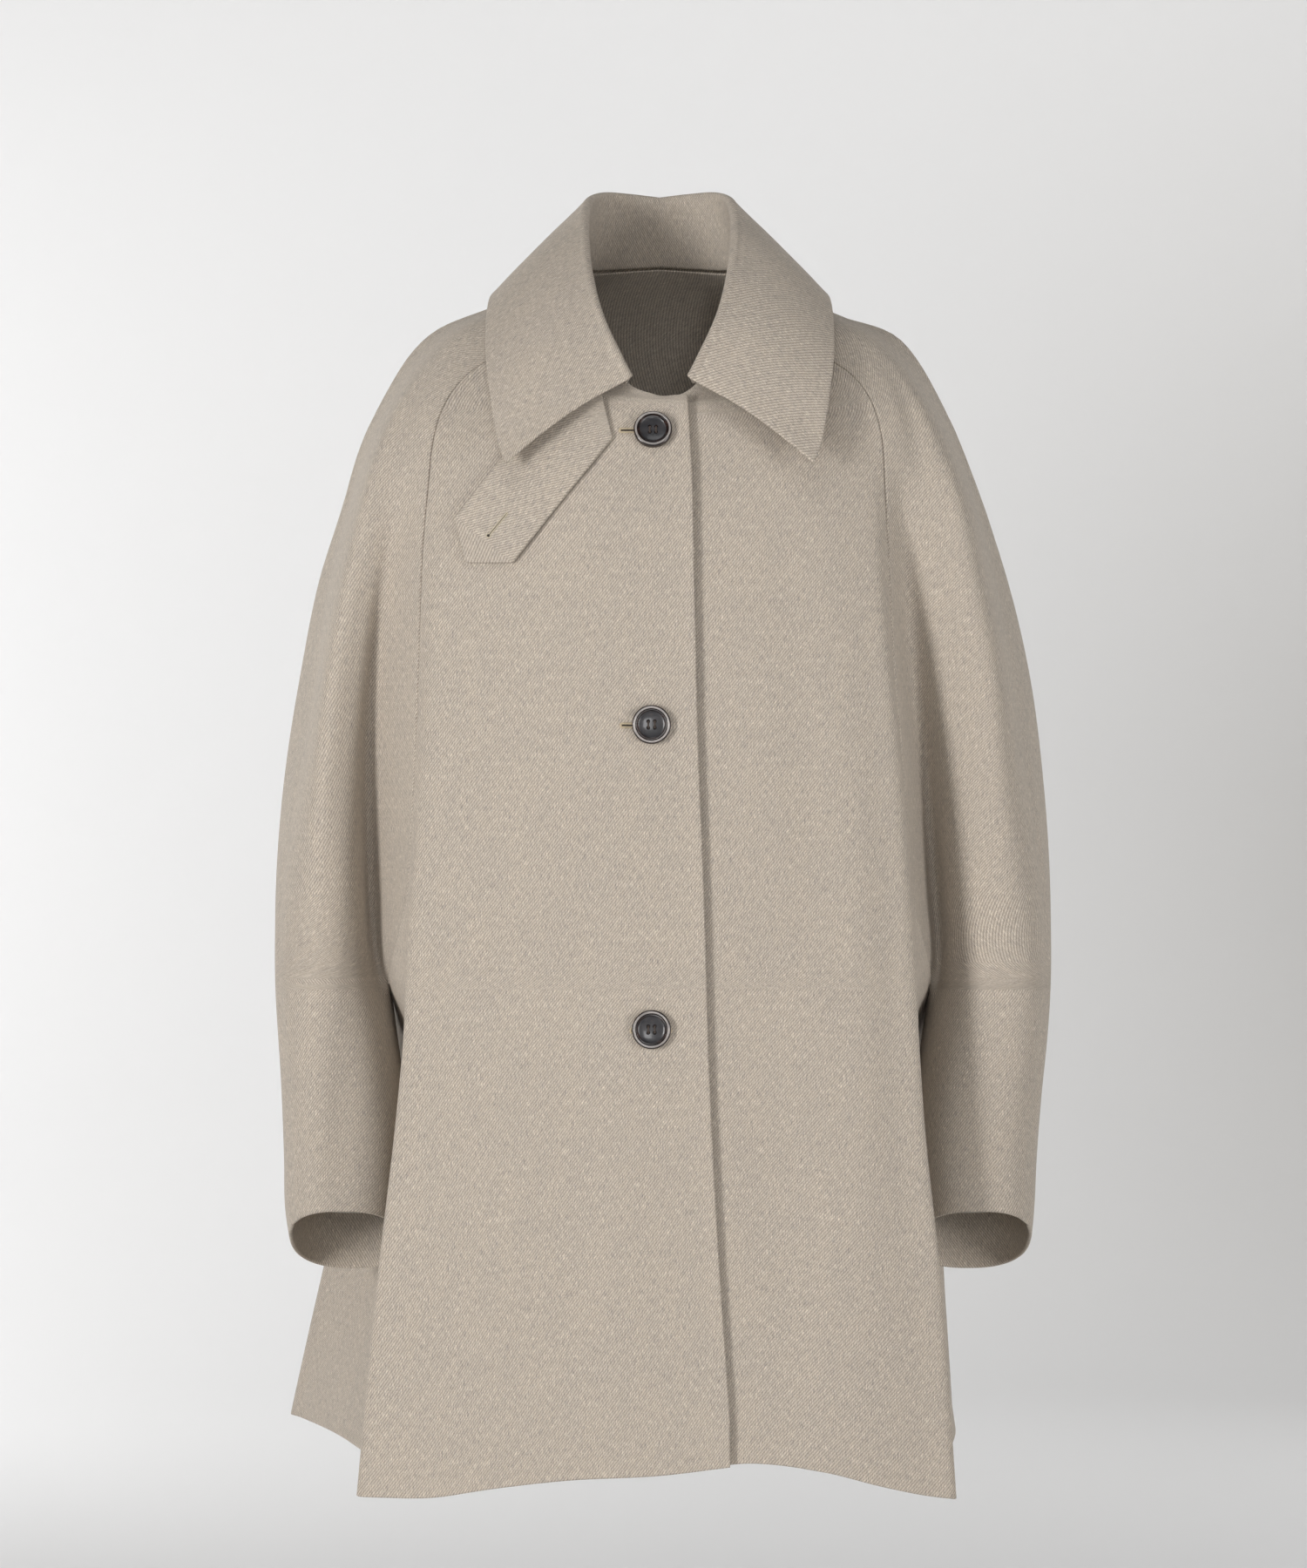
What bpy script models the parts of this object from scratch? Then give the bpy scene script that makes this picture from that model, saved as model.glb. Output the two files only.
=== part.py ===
# A-line wool coat with deep raglan sleeves, a shirt collar with a chin tab and three buttons.
# Metres, +Z up, the front faces -Y. The origin is between the shoulders, at the height
# where the coat is held. Every cloth piece is a wall lofted through rows of points.
import math

import bmesh
import bpy
import numpy as np

MM = 0.001

# Cloth
WALL = 2.8          # thickness of the doubled wool
SEAM = 0.35         # gap between pieces at a seam
LAY = 0.45          # gap between a piece and what lies on it
SEAM_REACH = 1.9    # edges of two pieces closer than this are one seam
ARM_GAP = 1.1       # gap between body and sleeve at the underarm point

# Grids: columns across a piece and rows down it
FRONT_COLS = (6, 3, 5)      # overlap to the fold, over the fold, and round the side
BACK_COLS = (4, 3, 10, 3, 4)
CLOSE_UP = 1.5              # how much closer the columns lie near a fold than away from it
SLEEVE_FRONT_COLS = (3, 7)  # seam to the valley, and on to the overarm seam
SLEEVE_BACK_COLS = (3, 9)
VALLEY_SHARE = {"front": 0.27, "back": 0.2}     # place of the valley's column in a closed ring
NECK_ROWS = 3               # rows that fan out from the neck over the shoulder
CUFF_ROWS = 5               # rows from the underarm to the cuff
FINE = 24                   # points on each stretch of a curve before it is spaced out

# Levels
SHOULDER_Z = -81    # front corner of the raglan seam
UNDERARM_Z = -507
TURN_Z = -440       # the raglan seam leaves the fold and turns under the arm
ARM_LEVELS = (-81, -120, -170, -230, -300, -370, -435, -462, -480, -494, -502, -505.7, -507)
SKIRT_LEVELS = (-524, -550, -590, -645, -715, -795, -880)
# How far the fronts and the back reach round their folds, at the shoulder and lower down
RETURN = (7, 14)
RETURN_FULL_Z = -200
FOLD = 14           # width of the columns before a fold

# Front and back of the body: a row for each level.
# z: height; front: depth at the middle; fold_y: depth at the front fold; fold_l, fold_r:
# half widths at the front folds; back: depth at the middle; bend_y, bend_l, bend_r: back folds
BODY = {
    "z":      (-60, -81, -137, -232, -358, -464, -534, -609, -716, -880),
    "front":  (-90, -96, -116, -133, -140, -144, -146, -148, -151, -156),
    "fold_y": (-66, -72, -92, -106, -112, -114, -115, -117, -120, -126),
    "fold_l": (156, 158, 159, 164, 171, 181, 182, 190, 203, 218),
    "fold_r": (154, 156, 155, 161, 173, 184, 190, 189, 200, 213),
    "back":   (104, 110, 126, 140, 146, 154, 160, 166, 176, 190),
    "bend_y": (62, 70, 92, 106, 112, 118, 124, 132, 146, 166),
    "bend_l": (160, 162, 166, 172, 184, 200, 212, 228, 252, 288),
    "bend_r": (160, 162, 166, 172, 182, 194, 202, 212, 224, 238),
}

FRONT_SHARES = (-0.3, 0.0, 0.3, 0.55, 0.75, 0.9, 1.0)   # places across the front, of its half width
BACK_SHARES = (1.0, 0.9, 0.72, 0.5, 0.25, 0.0)
FRONT_CURVE = 2.6   # how late the front curves away towards its fold
BACK_CURVE = 2.4

# Side of the body under the arm, pushed in by the sleeve: half width at its front, middle and back
SIDE = {
    "z":     (-440, -507, -535, -575, -640, -700, -780, -880),
    "front": (197, 194, 183, 173, 170, 176, 188, 203),
    "seam":  (204, 201, 186, 171, 166, 173, 192, 214),
    "rear":  (200, 196, 189, 184, 184, 196, 220, 246),
}
SIDE_FRONT_Y = -72
SIDE_SEAM_Y = 4
SIDE_REAR_Y = 78
SIDE_SWELL = 1.0    # how far the side swells between the fold and the side point

# Hem height against the width across the front, and then round the side and the back
HEM_FRONT = {
    "x": (-219, -166, -118, -71, 0, 50, 120, 183, 214),
    "z": (-870, -869, -861, -855, -851, -843, -850, -867, -872),
}
HEM_BASE_Z = -880   # level of the last row before the hem's slope is added
HEM_FOLD_Z = -871
HEM_SIDE_Z = -862
SLOPE_FROM_Z = -420     # rows above this are level
HEM_BEND_Z = -850
HEM_BACK_Z = -878

# Sleeves: a row for each level.
# out_l, out_r: the outermost half widths; dip: half width and depth of the valley at the front;
# face: the front of the sleeve; over: how far the overarm seam lies in from the outermost line
SLEEVE = {
    "z":      (-81, -111, -143, -208, -273, -358, -442, -480, -507),
    "out_l":  (214, 226, 235, 255, 268, 281, 287, 287, 287),
    "out_r":  (216, 228, 240, 261, 276, 287, 292, 292, 292),
    "out_y":  (4, 5, 6, 7, 8, 9, 8, 7, 6),
    "dip_x":  (180, 184, 190, 203, 212, 218, 217, 214, 209),
    "dip_y":  (-68, -78, -80, -74, -62, -48, -40, -42, -48),
    "face_x": (196, 206, 214, 228, 238, 247, 250, 250, 248),
    "face_y": (-55, -68, -75, -80, -80, -77, -73, -71, -70),
    "rear_x": (196, 206, 214, 230, 240, 248, 250, 250, 248),
    "rear_y": (60, 72, 80, 86, 88, 86, 84, 82, 80),
    "nook_x": (180, 185, 191, 204, 212, 217, 216, 213, 209),
    "nook_y": (66, 78, 84, 84, 78, 66, 56, 54, 52),
}
OVER_IN = (2, 13)   # overarm seam in from the outermost line, at the shoulder and lower down
OVER_Y = (2, -34)

# Sleeve under the arm: closed rings. mid_y: centre depth; half_y: half depth; in_x: inner half width
TUBE = {
    "t":      (0.0, 0.2, 0.45, 0.7, 0.88, 1.0),
    "z":      (-507, -545, -592, -640, -676, -697),
    "out_l":  (287, 284, 281, 279, 278, 275),
    "out_r":  (292, 289, 284, 280, 278, 276),
    "in_x":   (202.1, 196, 190, 187, 188, 190),
    "mid_y":  (5, 3, -1, -6, -10, -12),
    "half_y": (75, 72, 68, 64, 62, 60),
}
TUBE_BLEND = 300    # depth at which the open sleeve starts to take its tube form
CUFF_TILT = 24      # degrees that the cuff edge rises towards the front
TUBE_SQUARE = 2.5   # how square the tube's section is; 2 is an ellipse
TUBE_STEP = 15      # degrees between the points of its section
OVER_ANGLE = 150    # degrees from the inner seam forward to the overarm seam
SHOULDER_SWELL = (5, 9, 7)  # how far the sleeve swells between its seam and the ridge: x, y and z

# Shoulder ridge from the neck to the top of the sleeve
RIDGE_L = {"x": (66, 97, 125, 169, 189, 214), "z": (27, 12, -1, -19, -38, -80), "y": (6, 6, 6, 5, 5, 4)}
RIDGE_R = {"x": (66, 99, 132, 177, 195, 216), "z": (27, 9, -7, -22, -42, -80), "y": (6, 6, 6, 5, 5, 4)}
# Raglan seams from the neck to the front and the back corner
RAGLAN_FRONT = {"x": (58, 92, 128, 152), "z": (-12, -32, -47, -60), "y": (-46, -54, -62, -67)}
RAGLAN_BACK = {"x": (50, 88, 124, 150), "z": (30, 10, -18, -47), "y": (52, 62, 68, 69)}

# Neck edge from the front middle to the back middle
NECK = {
    "x": (0, 22, 42, 58, 66, 62, 50, 27, 0),
    "y": (-92, -86, -68, -46, 6, 34, 52, 70, 76),
    "z": (-75, -66, -42, -12, 27, 30, 30, 33, 35),
}
NECK_RAGLAN = 3     # where the front raglan seam starts on the neck edge
NECK_RIDGE = 4      # where the shoulder ridge starts
NECK_BACK = 6       # where the back raglan seam starts

# Overlap: the wearer's right front lies on top, and its edge leans out towards the hem
EDGE = {"z": (-74, -127, -220, -314, -451, -563, -719, -846), "x": (20, 23, 25, 27, 32, 35, 42, 50)}
UNDER_EDGE = -34    # hidden edge of the front that lies beneath
UNDER_STEP = WALL + LAY * 2
UNDER_REACH = (70, 150)     # the lower front is moved in fully up to the first, not at all past the second

# Collar: a station for each place along the neck edge, from the front end round to the back.
# n: place on the neck edge; roll: top of the fold; edge: free edge of the fall
COLLAR = {
    "n":      (1.05, 1.5, 2.3, 3.0, 3.9, 5.0, 6.0, 7.0, 8.0),
    "roll_x": (20, 28, 42, 54, 60, 57, 43, 22, 0),
    "roll_y": (-102, -97, -80, -49, -8, 28, 57, 74, 79),
    "roll_z": (-62, -46, -16, 18, 48, 67, 79, 85, 87),
    "edge_x": (111, 117, 123, 128, 127, 118, 93, 50, 0),
    "edge_y": (-125, -116, -101, -71, -18, 56, 102, 127, 133),
    "edge_z": (-126, -111, -78, -38, 3, 10, 2, -7, -10),
}
COLLAR_STATIONS = 30
STAND_COLS = 3
ROLL_COLS = 6
FALL_COLS = 6
COLLAR_BOW = 3      # how far the fall bows up over the shoulder
COLLAR_BOW_OUT = 1.8
BOW_LOWER = 0.9     # share of the bow that is left nearer the edge
FOLD_POINTS = 7
COLLAR_FOLD = 4.4   # radius of the fold at the top of the collar
COLLAR_RISE = 1.3   # how far the stand starts above the neck edge
COLLAR_SINK = (1.0, 3.0)    # places on the neck edge between which the stand moves outside the neckline

# Chin tab, a strip with two pointed ends, from under the collar across the front
TAB_TIP = (-140, -197)
TAB_ROOT = (-43, -74)
TAB_WIDTH = 54
TAB_POINT = 20      # length of a pointed end
TAB_BLUNT = 0.05    # width left at a point, of the whole width
TAB_LIFT = 1.0      # how far the tab stands off the front
TAB_ROWS = 12
TAB_COLS = 5

# Buttons
BUTTONS = ((-5, -102), (-6, -315), (-6, -533))
BUTTON_D = 28
BUTTON_T = 5.0
BUTTON_RIM = 3.2
BUTTON_DISH = 1.6
BUTTON_ROUND = 0.7  # how far the rim's corners are turned off
HOLE_D = 2.4
HOLE_PITCH = 4.6
BUTTON_SIDES = 28
HOLE_SIDES = 6

# Sleeve linings, where they show in the cuffs
LINING_ROWS = (3, 4)        # first and last row of the lower sleeve that they cover
LINING_WALL = 1.0

WOOL = ("wool_cloth", (0.485, 0.425, 0.345), 0.92)
HORN = ("horn_button", (0.022, 0.014, 0.011), 0.22)
SATIN = ("lining_cloth", (0.62, 0.60, 0.55), 0.55)


def look_up(table, name, key, at):
    """Value of a column at a place between rows, eased between the rows."""
    xs = np.array(table[key], float)
    ys = np.array(table[name], float)
    if xs[0] > xs[-1]:
        xs, ys = xs[::-1], ys[::-1]
    at = min(max(at, xs[0]), xs[-1])
    slope = np.gradient(ys, xs)
    i = int(min(np.searchsorted(xs, at, side="right") - 1, len(xs) - 2))
    h = xs[i + 1] - xs[i]
    u = (at - xs[i]) / h
    a = (2 * u**3 - 3 * u**2 + 1) * ys[i] + (u**3 - 2 * u**2 + u) * h * slope[i]
    b = (3 * u**2 - 2 * u**3) * ys[i + 1] + (u**3 - u**2) * h * slope[i + 1]
    return float(a + b)


def smooth_line(points, fine=FINE):
    """Dense points of a soft curve through the given ones."""
    p = np.array(points, float)
    gaps = np.sqrt(np.linalg.norm(np.diff(p, axis=0), axis=1)) + 1e-9
    knots = np.concatenate([[0], np.cumsum(gaps)])
    slopes = np.gradient(p, knots, axis=0)
    out = []
    for i in range(len(p) - 1):
        h = knots[i + 1] - knots[i]
        for k in range(fine):
            u = k / fine
            a = (2 * u**3 - 3 * u**2 + 1) * p[i] + (u**3 - 2 * u**2 + u) * h * slopes[i]
            b = (3 * u**2 - 2 * u**3) * p[i + 1] + (u**3 - u**2) * h * slopes[i + 1]
            out.append(a + b)
    out.append(p[-1])
    return np.array(out)


def spaced(line, count, trim_start=0.0, trim_end=0.0):
    """The line as count points at even distances, shortened at its ends."""
    steps = np.linalg.norm(np.diff(line, axis=0), axis=1)
    run = np.concatenate([[0], np.cumsum(steps)])
    at = np.linspace(trim_start, run[-1] - trim_end, count)
    return np.stack([np.interp(at, run, line[:, k]) for k in range(3)], axis=1)


def table_line(table, side=1):
    """A soft curve from a table with x, y and z columns, on the side asked for."""
    return smooth_line([(side * x, y, z) for x, y, z in zip(table["x"], table["y"], table["z"])])


def ease(value, low, high):
    """0 below low, 1 above high, soft between them."""
    u = min(max((value - low) / (high - low), 0.0), 1.0)
    return u * u * (3 - 2 * u)


def hem_height(place):
    """Hem height at a place: 1 the front fold, 2 the side seam, 3 the bend at the back, 4 its middle."""
    stops = {"p": (1, 2, 3, 4), "z": (HEM_FOLD_Z, HEM_SIDE_Z, HEM_BEND_Z, HEM_BACK_Z)}
    return look_up(stops, "z", "p", place)


def body_front(side, z, drop):
    """Row of the front at a level, from the middle to the fold. drop shares out the hem's slope."""
    fold = look_up(BODY, "fold_r" if side > 0 else "fold_l", "z", z)
    front = look_up(BODY, "front", "z", z)
    fold_y = look_up(BODY, "fold_y", "z", z)
    points = []
    for share in FRONT_SHARES:
        x = side * fold * share
        y = front + (fold_y - front) * abs(share) ** FRONT_CURVE
        hem = look_up(HEM_FRONT, "z", "x", x)
        points.append((x, y, z + drop * (hem - HEM_BASE_Z)))
    return points


def side_points(side, z, drop):
    """Points of the body's side under the arm, from the front fold to the back bend."""
    front = look_up(SIDE, "front", "z", z)
    seam = look_up(SIDE, "seam", "z", z)
    rear = look_up(SIDE, "rear", "z", z)
    fold = look_up(BODY, "fold_r" if side > 0 else "fold_l", "z", z)
    fold_y = look_up(BODY, "fold_y", "z", z)
    lift = drop * (hem_height(1.5) - HEM_BASE_Z)
    return [
        (side * (fold + front) * 0.5 + side * SIDE_SWELL, (fold_y + SIDE_FRONT_Y) * 0.5, z + lift),
        (side * front, SIDE_FRONT_Y, z + lift),
        (side * seam, SIDE_SEAM_Y, z + drop * (HEM_SIDE_Z - HEM_BASE_Z)),
    ]


def body_back(side, z, drop):
    """Row of the back at a level, from the side seam round the bend to the middle."""
    bend = look_up(BODY, "bend_r" if side > 0 else "bend_l", "z", z)
    bend_y = look_up(BODY, "bend_y", "z", z)
    back = look_up(BODY, "back", "z", z)
    points = []
    for share in BACK_SHARES:
        y = back + (bend_y - back) * share ** BACK_CURVE
        height = hem_height(4 - share)
        points.append((side * bend * share, y, z + drop * (height - HEM_BASE_Z)))
    return points


def turn_share(z):
    """How far the raglan seam has turned under the arm at a level, 0 to 1."""
    left = min(max((z - UNDERARM_Z) / (TURN_Z - UNDERARM_Z), 0.0), 1.0)
    return 1 - math.sqrt(left)


def drop_share(z):
    """How much of the hem's slope a row takes up."""
    return ease(-z, -SLOPE_FROM_Z, -HEM_BASE_Z)


def row_levels():
    """Heights of the body's rows below the shoulder corner."""
    return ARM_LEVELS + SKIRT_LEVELS


def spaced_in(line, breaks, counts, close_up=()):
    """Spaces out a row between breaks, which are distances along it.

    close_up names the stretches whose columns crowd towards their start (1) or their end (-1)."""
    steps = np.linalg.norm(np.diff(line, axis=0), axis=1)
    run = np.concatenate([[0], np.cumsum(steps)])
    at = [breaks[0]]
    for n, (low, high, count) in enumerate(zip(breaks, breaks[1:], counts)):
        share = np.linspace(0, 1, count + 1)[1:]
        crowd = dict(close_up).get(n, 0)
        if crowd > 0:
            share = share ** CLOSE_UP
        if crowd < 0:
            share = 1 - (1 - share) ** CLOSE_UP
        at.extend(low + (high - low) * share)
    return np.stack([np.interp(at, run, line[:, k]) for k in range(3)], axis=1)


def length_of(line):
    return float(np.linalg.norm(np.diff(line, axis=0), axis=1).sum())


def fold_return(fold, target, z):
    """Point a little way round a fold, towards the target."""
    far = RETURN[0] + (RETURN[1] - RETURN[0]) * ease(-z, -SHOULDER_Z, -RETURN_FULL_Z)
    way = np.array(target[:2]) - np.array(fold[:2])
    way = way / np.linalg.norm(way)
    return (fold[0] + way[0] * far, fold[1] + way[1] * far, fold[2])


def mix(a, b, share):
    return tuple(p + (q - p) * share for p, q in zip(a, b))


def front_row(side, z):
    """Front row from past the middle to the raglan or side seam, and its length past the fold."""
    drop = drop_share(z)
    row = body_front(side, z, drop)
    turn = turn_share(z)
    level_z = row[-1][2]
    dip = (side * look_up(SLEEVE, "dip_x", "z", z), look_up(SLEEVE, "dip_y", "z", z), level_z)
    sides = side_points(side, z, drop)
    back = fold_return(row[-1], mix(dip, sides[1], turn), z)
    if turn <= 0:
        line = smooth_line(row + [back])
    else:
        keys = row + [back] + sides[1:]
        end = len(row) + (len(keys) - 1 - len(row)) * turn
        line = smooth_line(keys)[: int(round(end * FINE)) + 1]
    return line, length_of(line[(len(row) - 1) * FINE:])


def back_row(side, z):
    """Back row from the raglan or side seam to the middle of the back, and its length before the bend."""
    drop = drop_share(z)
    row = body_back(side, z, drop)
    turn = turn_share(z)
    rear = look_up(SIDE, "rear", "z", z)
    seam = look_up(SIDE, "seam", "z", z)
    lift = z + drop * (hem_height(2.5) - HEM_BASE_Z)
    nook = (side * look_up(SLEEVE, "nook_x", "z", z), look_up(SLEEVE, "nook_y", "z", z), lift)
    rear_point = (side * rear, SIDE_REAR_Y, lift)
    begin = fold_return(row[0], mix(nook, rear_point, turn), z)
    if turn <= 0:
        line = smooth_line([begin] + row)
        first = 1
    else:
        seam_point = (side * seam, SIDE_SEAM_Y, z + drop * (HEM_SIDE_Z - HEM_BASE_Z))
        first = 3
        full = smooth_line([seam_point, rear_point, begin] + row)
        skip = int(round(2 * (1 - turn) * FINE))
        line = full[skip:]
        return line, length_of(line[: first * FINE - skip + 1])
    return line, length_of(line[: first * FINE + 1])


def cut_at_x(line, x, side):
    """Cuts a front row, which runs from past the middle outwards, where it passes x."""
    xs = line[:, 0] * side
    first = int(np.argmax(xs > x * side))
    a, b = line[first - 1], line[first]
    u = (x * side - a[0] * side) / (b[0] * side - a[0] * side)
    return np.vstack([a + (b - a) * u, line[first:]])


def front_edge_x(side, z):
    """Where a front ends at the overlap."""
    if side < 0:
        return look_up(EDGE, "x", "z", z)
    return UNDER_EDGE


def set_under(rows, side):
    """Moves the lower front back square to itself, by the most at the overlap."""
    out = []
    for row, normals in zip(rows, grid_normals(rows)):
        share = np.array([1 - ease(p[0] * side, *UNDER_REACH) for p in row])
        out.append(row - normals * (share * UNDER_STEP)[:, None])
    return out


def fan(neck, first, edge_start, edge_end, count):
    """Rows between the neck edge and the first full row, tied to the edges at both ends."""
    rows = []
    cols = len(neck)
    for i in range(count):
        v = i / count
        row = []
        for j in range(cols):
            u = j / (cols - 1)
            flat = (1 - v) * neck[j] + v * first[j]
            start = edge_start[i] - ((1 - v) * neck[0] + v * first[0])
            end = edge_end[i] - ((1 - v) * neck[-1] + v * first[-1])
            row.append(flat + (1 - u) * start + u * end)
        rows.append(np.array(row))
    return rows


def neck_line(side, start, end, fine=12):
    """Stretch of the neck edge between two places on it."""
    steps = max(2, int(round(abs(end - start) * fine)))
    table = dict(NECK, n=tuple(range(len(NECK["x"]))))
    out = []
    for i in range(steps + 1):
        at = start + (end - start) * i / steps
        x, y, z = (look_up(table, axis, "n", at) for axis in "xyz")
        out.append((side * x, y, z))
    return np.array(out)


def front_spaced(line, past):
    """Spaces out a front's row, with close columns round its fold."""
    total = length_of(line)
    end = total - SEAM / 2
    return spaced_in(line, (0, total - past - FOLD, total - past, end), FRONT_COLS, ((2, 1),))


def front_grid(side):
    """Points of a front, from the overlap edge outwards and from the neck down."""
    rows = []
    for z in row_levels():
        line, past = front_row(side, z)
        rows.append(front_spaced(cut_at_x(line, front_edge_x(side, z), side), past))
    neck = neck_line(side, 0, NECK_RAGLAN)
    across = front_edge_x(side, NECK["z"][0])
    start = np.array([(x, NECK["y"][0], NECK["z"][0]) for x in np.linspace(across, 0, 8)[:-1]])
    neck = front_spaced(np.vstack([start, neck]), RETURN[0])
    first = rows[0]
    seam = raglan_line(side, "front")
    edge = spaced(np.array([neck[0], first[0]]), NECK_ROWS + 1)
    inward = (first[-1] - first[-2]) / np.linalg.norm(first[-1] - first[-2])
    ends = [p - inward * SEAM / 2 for p in seam]
    ends[0] = neck[-1]
    rows = fan(neck, first, edge, ends, NECK_ROWS) + rows
    if side > 0:
        rows = set_under(rows, side)
    return rows


def raglan_line(side, which):
    """The raglan seam from the neck to the first full row, one point for each fan row."""
    table = RAGLAN_FRONT if which == "front" else RAGLAN_BACK
    points = [(side * x, y, z) for x, y, z in zip(table["x"], table["y"], table["z"])]
    if which == "front":
        points.append(tuple(front_row(side, SHOULDER_Z)[0][-1]))
    else:
        points.append(tuple(back_row(side, SHOULDER_Z)[0][0]))
    return spaced(smooth_line(points), NECK_ROWS + 1)


def back_spaced(line, past_a, past_b):
    """Spaces out a row of the back, with close columns round its two bends."""
    total = length_of(line)
    breaks = (SEAM / 2, past_a, past_a + FOLD, total - past_b - FOLD, total - past_b, total - SEAM / 2)
    return spaced_in(line, breaks, BACK_COLS, ((0, -1), (4, 1)))


def back_grid():
    """Points of the back from the wearer's right to the left, and from the neck down."""
    rows = []
    for z in row_levels():
        one, past_one = back_row(-1, z)
        two, past_two = back_row(1, z)
        rows.append(back_spaced(np.vstack([one, two[::-1][1:]]), past_one, past_two))
    half = len(NECK["x"]) - 1
    neck = np.vstack([neck_line(-1, NECK_BACK, half), neck_line(1, half, NECK_BACK)[1:]])
    neck = back_spaced(neck, RETURN[0], RETURN[0])
    starts = raglan_line(-1, "back")
    ends = raglan_line(1, "back")
    starts[:, 0] += SEAM / 2
    ends[:, 0] -= SEAM / 2
    starts[0], ends[0] = neck[0], neck[-1]
    return fan(neck, rows[0], starts, ends, NECK_ROWS) + rows


def sleeve_point(side, z):
    """Named points of the open part of the sleeve at a level."""
    out = look_up(SLEEVE, "out_r" if side > 0 else "out_l", "z", z)
    low = ease(-z, -SHOULDER_Z, TUBE_BLEND)
    names = [name for name in SLEEVE if name not in ("z", "out_l", "out_r")]
    get = {name: look_up(SLEEVE, name, "z", z) for name in names}
    shift = out - look_up(SLEEVE, "out_l", "z", z)
    over_x = out - (OVER_IN[0] + (OVER_IN[1] - OVER_IN[0]) * low)
    over_y = OVER_Y[0] + (OVER_Y[1] - OVER_Y[0]) * low
    return {
        "dip": (side * get["dip_x"], get["dip_y"], z),
        "face": (side * (get["face_x"] + shift), get["face_y"], z),
        "over": (side * over_x, over_y, z),
        "out": (side * out, get["out_y"], z),
        "rear": (side * (get["rear_x"] + shift), get["rear_y"], z),
        "nook": (side * get["nook_x"], get["nook_y"], z),
    }


def tube_ring(side, t):
    """Closed ring of the lower sleeve: front half from the inner seam to the overarm seam, and back half."""
    z = look_up(TUBE, "z", "t", t)
    out = look_up(TUBE, "out_r" if side > 0 else "out_l", "t", t)
    inner = look_up(TUBE, "in_x", "t", t)
    mid_y = look_up(TUBE, "mid_y", "t", t)
    half_y = look_up(TUBE, "half_y", "t", t)
    mid_x = (out + inner) / 2
    half_x = (out - inner) / 2
    tilt = math.tan(math.radians(CUFF_TILT)) * t

    def at(degrees):
        a = math.radians(degrees)
        c, s = math.cos(a), math.sin(a)
        square = (abs(c) ** TUBE_SQUARE + abs(s) ** TUBE_SQUARE) ** (-1 / TUBE_SQUARE)
        y = mid_y + half_y * s * square
        return (side * (mid_x + half_x * c * square), y, z - (y - mid_y) * tilt)

    front = [at(180 + a) for a in range(0, OVER_ANGLE + 1, TUBE_STEP)]
    back = [at(180 + a) for a in range(OVER_ANGLE, 361, TUBE_STEP)]
    return front, back


def sleeve_spaced(line, valley, which):
    """Spaces out a sleeve row, with a column at its valley. valley: distance along the row, or None."""
    counts = SLEEVE_FRONT_COLS if which == "front" else SLEEVE_BACK_COLS
    total = length_of(line)
    if valley is None:
        valley = total * VALLEY_SHARE[which]
    return spaced_in(line, (SEAM / 2, valley, total - SEAM / 2), counts)


def half_ring(side, t, which):
    front, back = tube_ring(side, t)
    return sleeve_spaced(smooth_line(front if which == "front" else back[::-1], 6), None, which)


def open_row(side, z, which):
    """Row of the open sleeve at a level, from the raglan seam to the overarm seam."""
    p = sleeve_point(side, z)
    if which == "front":
        start = front_row(side, z)[0][-1]
        keys = [start, p["dip"], p["face"], p["over"]]
    else:
        start = back_row(side, z)[0][0]
        keys = [start, p["nook"], p["rear"], p["out"], p["over"]]
    apart = ARM_GAP * turn_share(z) ** 2
    keys[0] = (keys[0][0] + side * apart, keys[0][1], keys[0][2])
    line = smooth_line(keys)
    return sleeve_spaced(line, length_of(line[: FINE + 1]), which)


def sleeve_grid(side, which):
    """Points of half a sleeve, from the raglan or inner seam to the overarm seam."""
    seam = raglan_line(side, which)
    ridge = spaced(table_line(RIDGE_R if side > 0 else RIDGE_L, side), NECK_ROWS + 1)
    outward = -1 if which == "front" else 1
    first = open_row(side, SHOULDER_Z, which)
    start = NECK_RAGLAN if which == "front" else NECK_BACK
    rows = [sleeve_spaced(neck_line(side, start, NECK_RIDGE, 40), None, which)]
    for i in range(1, NECK_ROWS):
        v = i / NECK_ROWS
        b = ridge[i] + (first[-1] - ridge[-1]) * v
        bulge = np.array([side * SHOULDER_SWELL[0] * v, outward * SHOULDER_SWELL[1], SHOULDER_SWELL[2]])
        arch = smooth_line([seam[i], (seam[i] + b) / 2 + bulge, b])
        rows.append(sleeve_spaced(arch, None, which))
    swell = half_ring(side, 0, which) - open_row(side, UNDERARM_Z, which)
    swell[0] = 0
    for z in ARM_LEVELS[:-1]:
        rows.append(open_row(side, z, which) + swell * ease(-z, TUBE_BLEND, -UNDERARM_Z))
    rows += [half_ring(side, i / CUFF_ROWS, which) for i in range(CUFF_ROWS + 1)]
    return rows


def lining_grid(front, back):
    """Closed rings just inside a sleeve's wall, made from the sleeve's own points moved in."""
    (rows_a, ways_a), (rows_b, ways_b) = front, back
    base = len(rows_a) - 1 - CUFF_ROWS
    out = []
    for i in range(base + LINING_ROWS[0], base + LINING_ROWS[1] + 1):
        points = np.vstack([rows_a[i][1:], rows_b[i][::-1][1:]])
        ways = np.vstack([ways_a[i][1:], ways_b[i][::-1][1:]])
        out.append(points - ways * (WALL + LAY))
    return out


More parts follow.
